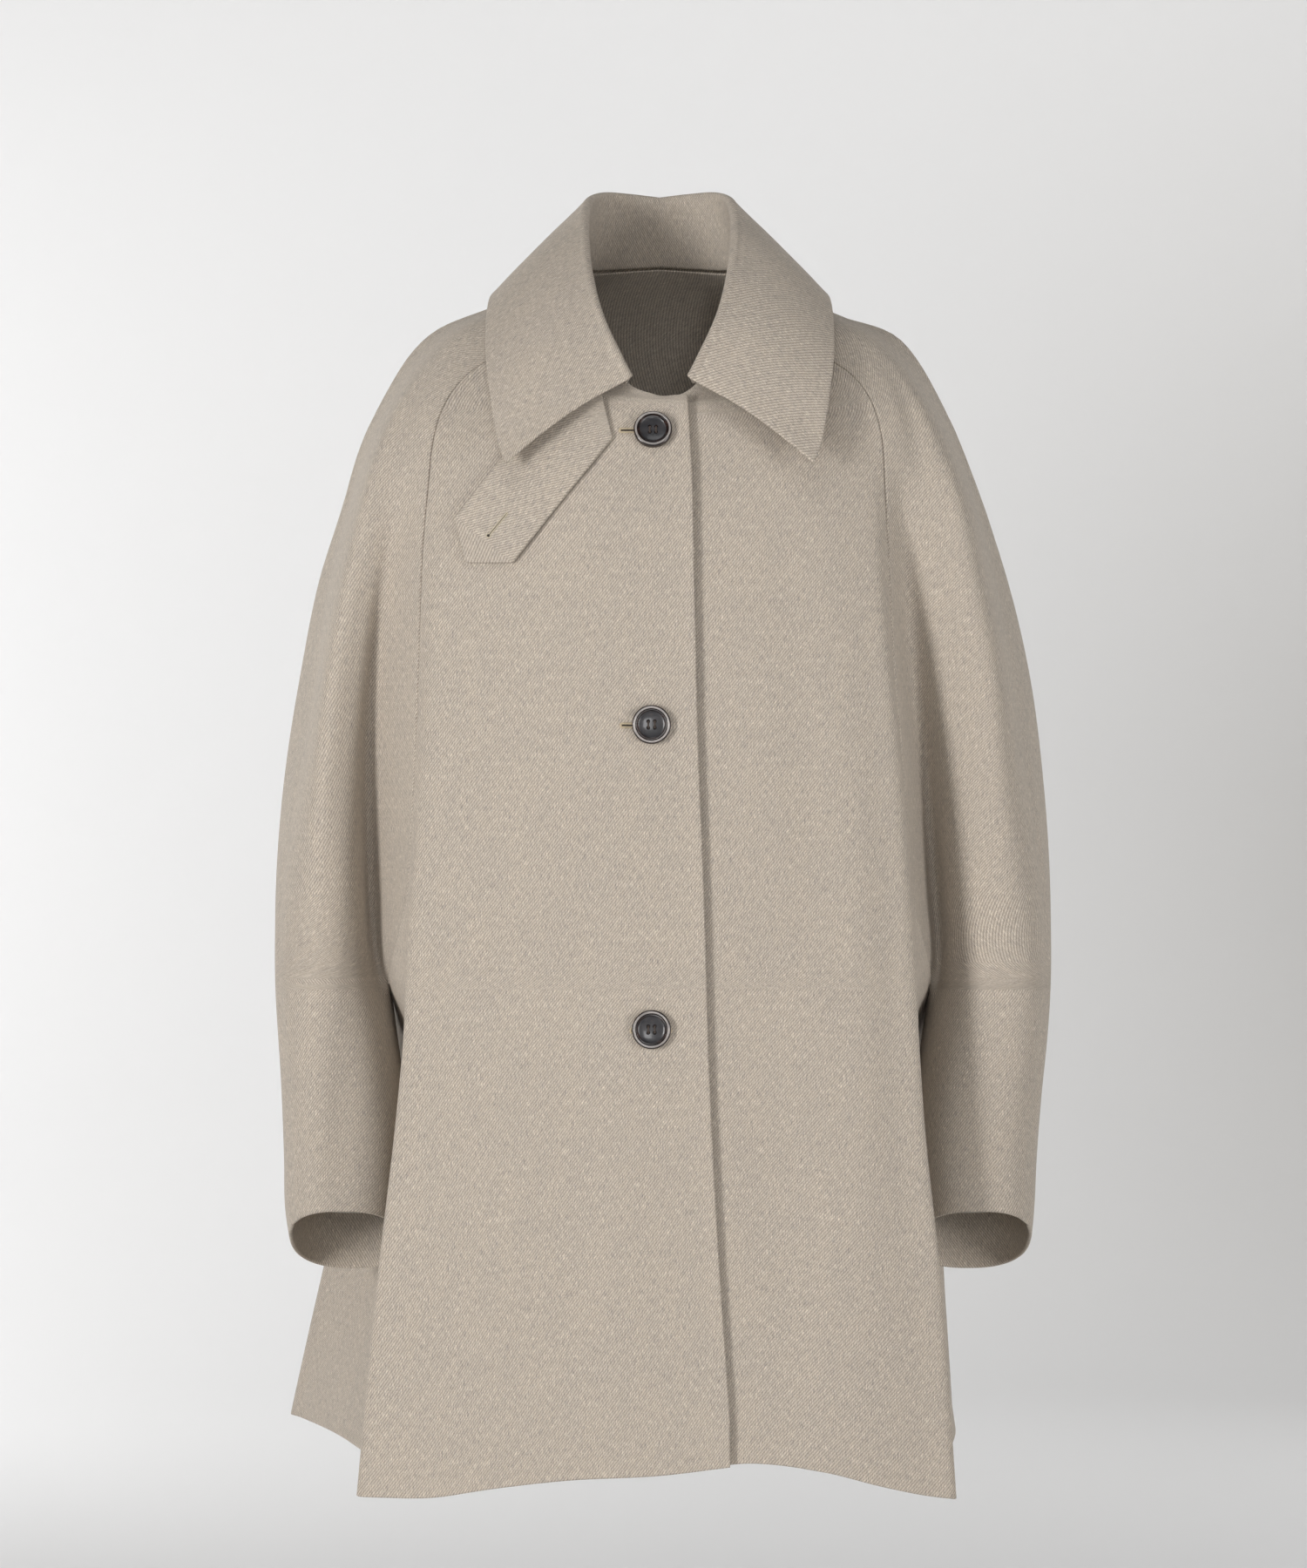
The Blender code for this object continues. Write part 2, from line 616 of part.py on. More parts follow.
def collar_station(u):
    """Section of the collar at a share of its length, from the wearer's right end to the left."""
    place = abs(u * 2 - 1)
    side = 1 if u > 0.5 else -1
    rows = len(COLLAR["n"])
    table = dict(COLLAR, row=tuple(range(rows)))
    at = (1 - place) * (rows - 1)

    def named(part):
        x, y, z = (look_up(table, part + "_" + axis, "row", at) for axis in "xyz")
        return np.array((side * x, y, z))

    roll, edge = named("roll"), named("edge")
    n = look_up(table, "n", "row", at)
    neck = neck_line(side, n, n + 0.01, 1)[0]
    out = edge - roll
    out[2] = 0
    out = out / np.linalg.norm(out)
    base = neck - out * WALL * ease(n, *COLLAR_SINK)
    rise = roll - base
    base = base + rise / np.linalg.norm(rise) * COLLAR_RISE
    down = (base - roll) / np.linalg.norm(base - roll) + (edge - roll) / np.linalg.norm(edge - roll)
    up = -down / np.linalg.norm(down)
    across = edge - base
    across = across - up * (across @ up)
    across = across / np.linalg.norm(across)
    low = roll - up * COLLAR_FOLD
    turn = []
    for k in range(FOLD_POINTS):
        a = math.pi * k / (FOLD_POINTS - 1)
        turn.append(low - across * COLLAR_FOLD * math.cos(a) + up * COLLAR_FOLD * math.sin(a))
    start = turn[-1]
    bow = np.array((0, 0, 1.0)) * COLLAR_BOW + out * COLLAR_BOW_OUT
    near = (start * 2 + edge) / 3 + bow
    far = (start + edge * 2) / 3 + bow * BOW_LOWER
    stand = smooth_line([base, (base + turn[0]) / 2, turn[0]])
    return stand, smooth_line(turn), smooth_line([start, near, far, edge])


def collar_grid():
    """Points of the collar, from the wearer's right end round the neck to the left end."""
    rows = []
    for i in range(COLLAR_STATIONS + 1):
        stand, over, fall = collar_station(i / COLLAR_STATIONS)
        stretches = [spaced(stand, STAND_COLS)[:-1], spaced(over, ROLL_COLS)[:-1], spaced(fall, FALL_COLS)]
        rows.append(np.vstack(stretches))
    return rows


def front_surface(x, z):
    """Depth of the upper front at a place."""
    line = body_front(-1, z, 0.0)
    xs = [p[0] for p in line][::-1]
    ys = [p[1] for p in line][::-1]
    return float(np.interp(x, xs, ys))


def tab_grid():
    """Points of the chin tab, which follow the front's own surface and are moved out."""
    tip = np.array(TAB_TIP, float)
    root = np.array(TAB_ROOT, float)
    along = (root - tip) / np.linalg.norm(root - tip)
    across = np.array((along[1], -along[0]))
    length = np.linalg.norm(root - tip)
    rows = []
    middle = np.linspace(TAB_POINT, length - TAB_POINT, TAB_ROWS - 3)
    stops = [0, TAB_POINT / 2, *middle, length - TAB_POINT / 2, length]
    for i in range(TAB_ROWS + 1):
        s = stops[i]
        half = TAB_WIDTH / 2 * min(1.0, TAB_BLUNT + (1 - TAB_BLUNT) * min(s, length - s) / TAB_POINT)
        row = []
        for j in range(TAB_COLS + 1):
            w = half * (2 * j / TAB_COLS - 1)
            x, z = tip + along * s + across * w
            y = front_surface(x, z) - WALL - LAY - TAB_LIFT
            row.append((x, y, z))
        rows.append(np.array(row))
    return rows


def collection(name):
    c = bpy.data.collections.new(name)
    bpy.context.scene.collection.children.link(c)
    return c


def material(slot):
    name, colour, rough = slot
    if name in bpy.data.materials:
        return bpy.data.materials[name]
    m = bpy.data.materials.new(name)
    m.use_nodes = True
    b = m.node_tree.nodes["Principled BSDF"]
    b.inputs["Base Color"].default_value = (*colour, 1)
    b.inputs["Roughness"].default_value = rough
    b.inputs["Metallic"].default_value = 0.0
    return m


def grid_normals(rows, closed=False):
    """Directions square to a grid of points, from the steps along and across it."""
    p = np.array(rows, float)
    down = np.gradient(p, axis=0)
    if closed:
        across = (np.roll(p, -1, axis=1) - np.roll(p, 1, axis=1)) / 2
    else:
        across = np.gradient(p, axis=1)
    n = np.cross(down, across)
    n /= np.linalg.norm(n, axis=2)[:, :, None] + 1e-12
    return list(n)


def edge_keys(rows):
    """Row and column of each point on the edge of a grid."""
    last, end = len(rows) - 1, len(rows[0]) - 1
    return [(i, j) for i in range(last + 1) for j in range(end + 1) if i in (0, last) or j in (0, end)]


def share_normals(panels):
    """Gives the panels that meet at a seam one direction there, so that their walls lie side by side."""
    spots = []
    for name, (rows, normals) in panels.items():
        for i, j in edge_keys(rows):
            spots.append((name, i, j, np.array(rows[i][j]), np.array(normals[i][j])))
    places = np.array([s[3] for s in spots])
    ways = np.array([s[4] for s in spots])
    for name, i, j, place, way in spots:
        near = np.linalg.norm(places - place, axis=1) < SEAM_REACH
        total = ways[near].sum(axis=0)
        panels[name][1][i][j] = total / np.linalg.norm(total)


def short_way(rows, i, j, k):
    """Whether the shorter diagonal of a patch starts at its first corner."""
    one = np.linalg.norm(np.array(rows[i][j]) - np.array(rows[i + 1][k]))
    other = np.linalg.norm(np.array(rows[i + 1][j]) - np.array(rows[i][k]))
    return one <= other


def wall(name, rows, normals, slot, home, thick=WALL, closed=False):
    """A wall of cloth lofted through rows of points: its outer face, its inner face and its edges."""
    bm = bmesh.new()
    outer = [[bm.verts.new(np.array(p) * MM) for p in row] for row in rows]
    inner = []
    for row, ways in zip(rows, normals):
        inner.append([bm.verts.new((np.array(p) - np.array(n) * thick) * MM) for p, n in zip(row, ways)])
    last, cols = len(rows) - 1, len(rows[0])
    for i in range(last):
        for j in range(cols if closed else cols - 1):
            k = (j + 1) % cols
            tilted = short_way(rows, i, j, k)
            for face in ((outer, 1), (inner, -1)):
                a, b, c, d = face[0][i][j], face[0][i + 1][j], face[0][i + 1][k], face[0][i][k]
                halves = ((a, b, c), (a, c, d)) if tilted else ((a, b, d), (b, c, d))
                for half in halves:
                    bm.faces.new(half[:: face[1]])
    rims = []
    for i in (0, last):
        for j in range(cols if closed else cols - 1):
            k = (j + 1) % cols
            rims.append((outer[i][j], outer[i][k], inner[i][k], inner[i][j]))
    if not closed:
        for j in (0, cols - 1):
            for i in range(last):
                rims.append((outer[i][j], outer[i + 1][j], inner[i + 1][j], inner[i][j]))
    rim_faces = [bm.faces.new(r) for r in rims]
    bmesh.ops.recalc_face_normals(bm, faces=bm.faces)
    for f in bm.faces:
        f.smooth = True
    for f in rim_faces:
        f.smooth = False
        for e in f.edges:
            e.smooth = False
    mesh = bpy.data.meshes.new(name)
    bm.to_mesh(mesh)
    bm.free()
    ob = bpy.data.objects.new(name, mesh)
    home.objects.link(ob)
    mesh.materials.append(material(slot))
    return ob


def button_frame(x, z):
    """Seat of a button on the upper front: its centre, and its across, up and outward directions."""
    step = BUTTON_D / 2
    at = np.array((x, front_surface(x, z), z))
    up = np.array((0, front_surface(x, z + step) - front_surface(x, z - step), 2 * step))
    across = np.array((2 * step, front_surface(x + step, z) - front_surface(x - step, z), 0))
    up /= np.linalg.norm(up)
    across /= np.linalg.norm(across)
    out = np.cross(across, up)
    out /= np.linalg.norm(out)
    across = np.cross(up, out)
    swell = 0
    for k in range(BUTTON_SIDES):
        a = 2 * math.pi * k / BUTTON_SIDES
        for reach in (0.5, 1.0):
            p = at + (across * math.cos(a) + up * math.sin(a)) * step * reach
            cloth = np.array((p[0], front_surface(p[0], p[2]), p[2]))
            swell = max(swell, float((cloth - p) @ out))
    return at + out * (swell + LAY + BUTTON_T / 2), across, up, out


def button(name, x, z, slot, home, cutters):
    """A turned button with a rim, a dished middle and four holes."""
    r = BUTTON_D / 2
    half = BUTTON_T / 2
    inner = r - BUTTON_RIM
    profile = [
        (0, -half),
        (r - BUTTON_ROUND * 2, -half),
        (r - BUTTON_ROUND / 2, -half + BUTTON_ROUND),
        (r, 0),
        (r - BUTTON_ROUND / 2, half - BUTTON_ROUND),
        (r - BUTTON_ROUND * 1.8, half),
        (inner + BUTTON_ROUND / 2, half - BUTTON_ROUND / 2),
        (inner - BUTTON_ROUND * 1.6, half - BUTTON_DISH),
        (0, half - BUTTON_DISH - BUTTON_ROUND / 2),
    ]
    centre, across, up, out = button_frame(x, z)

    def place(a, b, c):
        return (centre + across * a + up * b + out * c) * MM

    bm = bmesh.new()
    rings = []
    for radius, height in profile:
        if radius == 0:
            rings.append([bm.verts.new(place(0, 0, height))])
            continue
        turns = [2 * math.pi * k / BUTTON_SIDES for k in range(BUTTON_SIDES)]
        spots = [(radius * math.cos(a), radius * math.sin(a)) for a in turns]
        rings.append([bm.verts.new(place(x, y, height)) for x, y in spots])
    for low, high in zip(rings, rings[1:]):
        for k in range(BUTTON_SIDES):
            n = (k + 1) % BUTTON_SIDES
            if len(low) == 1:
                bm.faces.new((low[0], high[n], high[k]))
            elif len(high) == 1:
                bm.faces.new((low[k], low[n], high[0]))
            else:
                bm.faces.new((low[k], low[n], high[n], high[k]))
    bmesh.ops.recalc_face_normals(bm, faces=bm.faces)
    mesh = bpy.data.meshes.new(name)
    bm.to_mesh(mesh)
    bm.free()
    for p in mesh.polygons:
        p.use_smooth = True
    ob = bpy.data.objects.new(name, mesh)
    home.objects.link(ob)
    mesh.materials.append(material(slot))
    bm = bmesh.new()
    for sx in (-1, 1):
        for sz in (-1, 1):
            rod = bmesh.ops.create_cone(
                bm,
                cap_ends=True,
                segments=HOLE_SIDES,
                radius1=HOLE_D / 2,
                radius2=HOLE_D / 2,
                depth=BUTTON_T * 2,
            )
            for v in rod["verts"]:
                v.co = place(sx * HOLE_PITCH / 2 + v.co.x, sz * HOLE_PITCH / 2 + v.co.y, v.co.z)
    bmesh.ops.recalc_face_normals(bm, faces=bm.faces)
    cutter_mesh = bpy.data.meshes.new(name + "_holes")
    bm.to_mesh(cutter_mesh)
    bm.free()
    cutter = bpy.data.objects.new(name + "_holes", cutter_mesh)
    cutters.objects.link(cutter)
    cutter.hide_render = True
    cutter.display_type = "WIRE"
    cut = ob.modifiers.new("holes", "BOOLEAN")
    cut.operation = "DIFFERENCE"
    cut.solver = "EXACT"
    cut.object = cutter
    return ob


def build():
    for ob in list(bpy.data.objects):
        bpy.data.objects.remove(ob, do_unlink=True)
    home = collection("coat")
    cutters = collection("coat_cutters")
    panels = {"front_right": front_grid(-1), "front_left": front_grid(1), "back": back_grid()}
    for side, word in ((-1, "right"), (1, "left")):
        panels["sleeve_front_" + word] = sleeve_grid(side, "front")
        panels["sleeve_back_" + word] = sleeve_grid(side, "back")
    turned = ("front_right", "sleeve_front_right", "back", "sleeve_back_left")
    for name, rows in panels.items():
        normals = grid_normals(rows)
        if name in turned:
            normals = [-n for n in normals]
        panels[name] = (rows, normals)
    share_normals(panels)
    for name, (rows, normals) in panels.items():
        wall(name, rows, normals, WOOL, home)
    for side, word in ((-1, "right"), (1, "left")):
        rows = lining_grid(panels["sleeve_front_" + word], panels["sleeve_back_" + word])
        normals = grid_normals(rows, closed=True)
        if side < 0:
            normals = [-n for n in normals]
        wall("sleeve_lining_" + word, rows, normals, SATIN, home, LINING_WALL, closed=True)
    rows = collar_grid()
    wall("collar", rows, grid_normals(rows), WOOL, home)
    rows = tab_grid()
    wall("chin_tab", rows, [-n for n in grid_normals(rows)], WOOL, home)
    for n, (x, z) in enumerate(BUTTONS):
        button("button_" + str(n + 1), x, z, HORN, home, cutters)


build()
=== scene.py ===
"""Looks of the wool coat: fine cloth pieces on the forms of the CAD nodes, with their folds,
seams, rolled edges, weave, buttons and stitches, and the camera and lights."""
import math

import bmesh
import bpy
import numpy as np
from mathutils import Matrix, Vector
from mathutils.bvhtree import BVHTree


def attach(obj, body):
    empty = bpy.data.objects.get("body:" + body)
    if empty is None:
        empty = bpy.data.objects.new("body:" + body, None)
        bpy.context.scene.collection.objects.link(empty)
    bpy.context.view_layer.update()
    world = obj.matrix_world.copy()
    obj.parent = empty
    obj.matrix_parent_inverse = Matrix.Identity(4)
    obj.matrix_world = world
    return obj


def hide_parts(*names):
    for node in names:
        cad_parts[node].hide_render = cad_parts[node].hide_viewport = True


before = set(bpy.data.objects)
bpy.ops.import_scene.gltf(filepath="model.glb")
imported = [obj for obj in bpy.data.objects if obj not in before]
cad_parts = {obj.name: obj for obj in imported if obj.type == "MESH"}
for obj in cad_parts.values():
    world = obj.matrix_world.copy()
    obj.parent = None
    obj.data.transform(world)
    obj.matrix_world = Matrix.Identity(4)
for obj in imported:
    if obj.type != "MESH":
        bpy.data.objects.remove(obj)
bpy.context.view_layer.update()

MM = 0.001

# Cloth, as in the CAD model
WALL = 2.8
SEAM = 0.35
LAY = 0.45
SEAM_REACH = 1.9
ARM_GAP = 1.1

# Fine grids: columns across a piece and rows down it
FRONT_COLS = (44, 6, 18)
BACK_COLS = (18, 6, 84, 6, 18)
CLOSE_UP = 1.5
SLEEVE_FRONT_COLS = (14, 32)
SLEEVE_BACK_COLS = (14, 42)
VALLEY_SHARE = {"front": 0.27, "back": 0.2}
NECK_ROWS = 24
CUFF_ROWS = 40
FINE = 24
LEVEL_STEP = 5.0
EDGE_STOPS = (0.0, 0.12, 0.42, 0.85, 1.4)   # distances from an edge of the lines that shape it
SEAM_DIP = 0.95             # how deep a seam's groove is
# Panels whose grids face inwards
TURNED = ("front_right", "sleeve_front_right", "back", "sleeve_back_left")
# Softened bends: columns that keep their place at the overlap, rows reached, and passes
HELD_COLS = 6
SHOULDER_REACH = 14
UNDERARM_REACH = 16
EVEN_PASSES = 60
# Height and half width of the overlap edge's swell and of the overarm seam's ridge
EDGE_RAISE, EDGE_RAISE_WIDTH = 1.6, 9
SEAM_RIDGE, SEAM_RIDGE_WIDTH = 1.0, 6
# The lower front sinks beneath the upper: by how much, how far in from its edge, and fading over
UNDER_SINK, UNDER_SINK_TO, UNDER_SINK_FADE = 1.8, 60, 50

# Levels
SHOULDER_Z = -81    # front corner of the raglan seam
UNDERARM_Z = -507
TURN_Z = -440       # the raglan seam leaves the fold and turns under the arm
ARM_LEVELS = (-81, -120, -170, -230, -300, -370, -435, -462, -480, -494, -502, -505.7, -507)
SKIRT_LEVELS = (-524, -550, -590, -645, -715, -795, -880)
# How far the fronts and the back reach round their folds, at the shoulder and lower down
RETURN = (7, 14)
RETURN_FULL_Z = -200
FOLD = 14           # width of the columns before a fold

# Front and back of the body: a row for each level.
# z: height; front: depth at the middle; fold_y: depth at the front fold; fold_l, fold_r:
# half widths at the front folds; back: depth at the middle; bend_y, bend_l, bend_r: back folds
BODY = {
    "z":      (-60, -81, -137, -232, -358, -464, -534, -609, -716, -880),
    "front":  (-90, -96, -116, -133, -140, -144, -146, -148, -151, -156),
    "fold_y": (-66, -72, -92, -106, -112, -114, -115, -117, -120, -126),
    "fold_l": (156, 158, 159, 164, 171, 179, 184, 191, 203, 218),
    "fold_r": (154, 156, 155, 161, 173, 181, 186, 191, 202, 213),
    "back":   (104, 110, 126, 140, 146, 154, 160, 166, 176, 190),
    "bend_y": (62, 70, 92, 106, 112, 118, 124, 132, 146, 166),
    "bend_l": (160, 162, 166, 172, 184, 200, 212, 228, 252, 288),
    "bend_r": (160, 162, 166, 172, 184, 202, 213, 217, 219, 228),
}

FRONT_SHARES = (-0.3, 0.0, 0.3, 0.55, 0.75, 0.9, 1.0)   # places across the front, of its half width
BACK_SHARES = (1.0, 0.9, 0.72, 0.5, 0.25, 0.0)
FRONT_CURVE = 2.6   # how late the front curves away towards its fold
BACK_CURVE = 2.4

# Side of the body under the arm, pushed in by the sleeve: half width at front, middle and back
SIDE = {
    "z":     (-440, -507, -535, -575, -640, -700, -780, -880),
    "front": (197, 194, 183, 173, 170, 176, 188, 203),
    "seam":  (204, 204, 194, 176, 167, 173, 192, 214),
    "rear_l": (200, 203, 204, 198, 188, 197, 220, 246),
    "rear_r": (200, 204, 206, 199, 186, 192, 208, 226),
}
SIDE_FRONT_Y = -72
SIDE_SEAM_Y = 4
SIDE_REAR_Y = 78
SIDE_SWELL = 1.0    # how far the side swells between the fold and the side point

# Hem height against the width across the front, and then round the side and the back
HEM_FRONT = {
    "x": (-219, -166, -118, -71, 0, 50, 120, 183, 214),
    "z": (-870, -869, -861, -855, -851, -843, -850, -867, -872),
}
HEM_BASE_Z = -880   # level of the last row before the hem's slope is added
HEM_FOLD_Z = -871
HEM_SIDE_Z = -862
SLOPE_FROM_Z = -420     # rows above this are level
HEM_BEND_Z = -850
HEM_BACK_Z = -878

# Sleeves: a row for each level.
# out_l, out_r: the outermost half widths; dip: half width and depth of the valley at the front,
# which lies behind the sleeve on one side and behind the body's fold on the other; face: the front
# of the sleeve; rear, nook: the same at the back
SLEEVE = {
    "z":      (-81, -111, -143, -208, -273, -358, -442, -480, -507),
    "out_l":  (214, 226, 235, 255, 268, 281, 287, 287, 287),
    "out_r":  (216, 228, 240, 261, 276, 287, 292, 292, 292),
    "out_y":  (4, 5, 6, 7, 8, 9, 8, 7, 6),
    "dip_x_l":  (180, 184, 190, 202, 210, 215, 215, 213, 209),
    "dip_y_l":  (-68, -77, -79, -72, -60, -46, -40, -42, -48),
    "dip_x_r":  (178, 178, 178, 181, 187, 196, 204, 207, 208),
    "dip_y_r":  (-68, -77, -79, -72, -60, -46, -40, -42, -48),
    "face_x_l": (196, 205, 213, 227, 238, 247, 250, 250, 248),
    "face_y_l": (-56, -69, -77, -82, -82, -80, -76, -73, -70),
    "face_x_r": (194, 204, 212, 225, 235, 243, 247, 248, 248),
    "face_y_r": (-56, -68, -75, -80, -81, -79, -76, -73, -70),
    "rear_x": (196, 206, 214, 230, 240, 248, 250, 250, 248),
    "rear_y": (60, 72, 80, 86, 88, 86, 84, 82, 80),
    "nook_x": (180, 185, 191, 204, 212, 217, 216, 213, 209),
    "nook_y": (66, 78, 84, 84, 78, 66, 56, 54, 52),
}
OVER_IN = (2, 13)   # overarm seam in from the outermost line, at the shoulder and lower down
OVER_Y = (2, -34)
RISE = (0.34, 0.66)     # half way out of its valley: how far the sleeve is across, and forward

# Sleeve under the arm: closed rings. mid_y: centre depth; half_y: half depth; in_x: inner side
TUBE = {
    "t":      (0.0, 0.2, 0.45, 0.7, 0.88, 1.0),
    "z":      (-507, -545, -592, -640, -676, -697),
    "out_l":  (287, 284, 281, 279, 278, 275),
    "out_r":  (292, 289, 284, 280, 278, 276),
    "in_x":   (202.1, 196, 190, 187, 188, 190),
    "mid_y":  (5, 3, -1, -6, -10, -12),
    "half_y": (75, 72, 68, 64, 62, 60),
}
TUBE_BLEND = 300    # depth at which the open sleeve starts to take its tube form
CUFF_TILT = 24      # degrees that the cuff edge rises towards the front
TUBE_SQUARE = 2.5   # how square the tube's section is; 2 is an ellipse
TUBE_STEP = 15      # degrees between the points of its section
OVER_ANGLE = 150    # degrees from the inner seam forward to the overarm seam
SHOULDER_SWELL = (5, 9, 7)  # how far the sleeve swells between its seam and the ridge: x, y and z

# Shoulder ridge from the neck to the top of the sleeve
RIDGE_L = {"x": (66, 97, 125, 169, 189, 214), "z": (27, 12, -1, -19, -38, -80),
           "y": (6, 6, 6, 5, 5, 4)}
RIDGE_R = {"x": (66, 99, 132, 177, 195, 216), "z": (27, 9, -7, -22, -42, -80),
           "y": (6, 6, 6, 5, 5, 4)}
# Raglan seams from the neck to the front and the back corner
RAGLAN_FRONT = {"x": (58, 92, 128, 152), "z": (-12, -32, -47, -60), "y": (-46, -54, -62, -67)}
RAGLAN_BACK = {"x": (50, 88, 124, 150), "z": (30, 10, -18, -47), "y": (52, 62, 68, 69)}

# Neck edge from the front middle to the back middle
NECK = {
    "x": (0, 22, 42, 58, 66, 62, 50, 27, 0),
    "y": (-92, -86, -68, -46, 6, 34, 52, 70, 76),
    "z": (-75, -66, -42, -12, 27, 30, 30, 33, 35),
}
NECK_RAGLAN = 3     # where the front raglan seam starts on the neck edge
NECK_RIDGE = 4      # where the shoulder ridge starts
NECK_BACK = 6       # where the back raglan seam starts

# Overlap: the wearer's right front lies on top, and its edge leans out towards the hem
EDGE = {"z": (-74, -127, -220, -314, -451, -563, -719, -846),
        "x": (20, 23, 25, 27, 32, 35, 42, 50)}
UNDER_EDGE = -34    # hidden edge of the front that lies beneath
UNDER_STEP = WALL + LAY * 2
UNDER_REACH = (70, 150)     # the lower front is moved in fully to the first, fading to the second

# Collar: a station for each place along the neck edge, from the front end round to the back.
# n: place on the neck edge; roll: top of the fold; edge: free edge of the fall
COLLAR = {
    "n":      (1.05, 1.5, 2.3, 3.0, 3.9, 5.0, 6.0, 7.0, 8.0),
    "roll_x": (20, 28, 42, 51, 54, 53, 43, 22, 0),
    "roll_y": (-102, -97, -80, -49, -8, 28, 57, 74, 79),
    "roll_z": (-62, -46, -14, 22, 57, 81, 91, 92, 90),
    "edge_x": (111, 117, 123, 128, 127, 118, 93, 50, 0),
    "edge_y": (-125, -116, -101, -71, -18, 56, 102, 127, 133),
    "edge_z": (-126, -111, -78, -38, 3, 10, 2, -7, -10),
}
COLLAR_STATIONS = 150
STAND_COLS = 8
ROLL_COLS = 15
FALL_COLS = 30
COLLAR_BOW = 3      # how far the fall bows up over the shoulder
COLLAR_BOW_OUT = 1.8
BOW_LOWER = 0.9     # share of the bow that is left nearer the edge
FOLD_POINTS = 7
COLLAR_FOLD = 4.4   # radius of the fold at the top of the collar
COLLAR_RISE = 1.3   # how far the stand starts above the neck edge
COLLAR_SINK = (1.0, 3.0)    # places on the neck edge between which the stand moves outside it

# Chin tab, a strip with two pointed ends, from under the collar across the front
TAB_TIP = (-140, -197)
TAB_ROOT = (-43, -74)
TAB_WIDTH = 54
TAB_POINT = 20      # length of a pointed end
TAB_BLUNT = 0.05    # width left at a point, of the whole width
TAB_LIFT = 1.0      # how far the tab stands off the front
TAB_ROWS = 56
TAB_COLS = 24

# Buttons
BUTTONS = ((-5, -102), (-6, -315), (-6, -533))
BUTTON_D = 28
BUTTON_T = 5.0
BUTTON_DISH = 1.6
HOLE_PITCH = 4.6
SIDES = 72          # steps round a button
HOLE_STEPS = 24     # steps round a hole
SEAT_STEPS = 28     # places round a button where it is kept clear of the front
RIM_ROUND = 1.55
STEP_POINTS = ((3.0, 1.45), (3.35, 1.55), (3.8, 1.42))      # in from the rim, down from the crest
DISH_POINTS = ((4.4, 0.25), (4.6, 0.05), (6.0, -0.22), (8.5, -0.45))    # in from the rim, up
HOLE_FACE = 0.55    # how far the face round the holes lies below the dish's edge
DISH_REFLECTION_DEPTH, DISH_REFLECTION_IN = 0.75, 4.3     # faces that get the dish's painted grey reflection: from how deep, from how far in
# faces of the rim's crest that get the painted highlight ring: how far down from the top, and
# between how far in from the rim
CREST_HIGHLIGHT_DEPTH, CREST_HIGHLIGHT_IN = 0.2, (2.3, 0.9)
STITCH_PITCH = 0.42     # between the threads of a stitch
STITCH_HIGH = 0.42      # how far its threads stand off the button's face
STITCH_HALF = HOLE_PITCH / 2 + 0.55     # half its length
STITCH_DIP = 2.6        # how far its ends go down into the holes
STITCH_TURN = 0.78      # share of its length after which a stitch dips into its holes

# Buttonholes: x at the two ends, and height; the keyhole runs from its bar to its round eye
BUTTONHOLES = ((-29.0, 1.0, -101.5), (-28.0, 2.0, -315.5), (-20.8, 8.0, -534.0))
KEYHOLE = ((-110, -162), (-124.5, -179.5))
PURL_RIPPLE = 0.3           # how far a buttonhole's thread swells at each stitch
PURL_PITCH = 0.64
THREAD_RADIUS = 0.27

# Sleeve linings, where they show in the cuffs
LINING_ROWS = (3, 4)        # first and last row of the lower sleeve that they cover
LINING_WALL = 1.0

def soft_step(u, gap, values, slopes):
    """Value a share u of the gap from one row to the next, which meets both rows' slopes."""
    a = (2 * u**3 - 3 * u**2 + 1) * values[0] + (u**3 - 2 * u**2 + u) * gap * slopes[0]
    b = (3 * u**2 - 2 * u**3) * values[1] + (u**3 - u**2) * gap * slopes[1]
    return a + b


def look_up(table, name, key, at):
    """Value of a column at a place between rows, eased between the rows."""
    xs = np.array(table[key], float)
    ys = np.array(table[name], float)
    if xs[0] > xs[-1]:
        xs, ys = xs[::-1], ys[::-1]
    at = min(max(at, xs[0]), xs[-1])
    slope = np.gradient(ys, xs)
    i = int(min(np.searchsorted(xs, at, side="right") - 1, len(xs) - 2))
    h = xs[i + 1] - xs[i]
    u = (at - xs[i]) / h
    return float(soft_step(u, h, ys[i:i + 2], slope[i:i + 2]))


def smooth_line(points, fine=FINE):
    """Dense points of a soft curve through the given ones."""
    p = np.array(points, float)
    gaps = np.sqrt(np.linalg.norm(np.diff(p, axis=0), axis=1)) + 1e-9
    knots = np.concatenate([[0], np.cumsum(gaps)])
    slopes = np.gradient(p, knots, axis=0)
    out = []
    for i in range(len(p) - 1):
        h = knots[i + 1] - knots[i]
        for k in range(fine):
            u = k / fine
            out.append(soft_step(u, h, p[i:i + 2], slopes[i:i + 2]))
    out.append(p[-1])
    return np.array(out)


def run_of(line):
    """Distance along a line of each of its points."""
    steps = np.linalg.norm(np.diff(line, axis=0), axis=1)
    return np.concatenate([[0], np.cumsum(steps)])


def points_at(line, run, at):
    """Points of a line at the distances asked for."""
    return np.stack([np.interp(at, run, line[:, k]) for k in range(3)], axis=1)


def spaced(line, count):
    """The line as count points at even distances."""
    run = run_of(line)
    return points_at(line, run, np.linspace(0.0, run[-1] - 0.0, count))


def table_line(table, side=1):
    """A soft curve from a table with x, y and z columns, on the side asked for."""
    return smooth_line([(side * x, y, z) for x, y, z in zip(table["x"], table["y"], table["z"])])


def ease(value, low, high):
    """0 below low, 1 above high, soft between them."""
    u = min(max((value - low) / (high - low), 0.0), 1.0)
    return u * u * (3 - 2 * u)


def sided(name, side):
    """Name of a table's column on the side asked for."""
    return name + ("_r" if side > 0 else "_l")


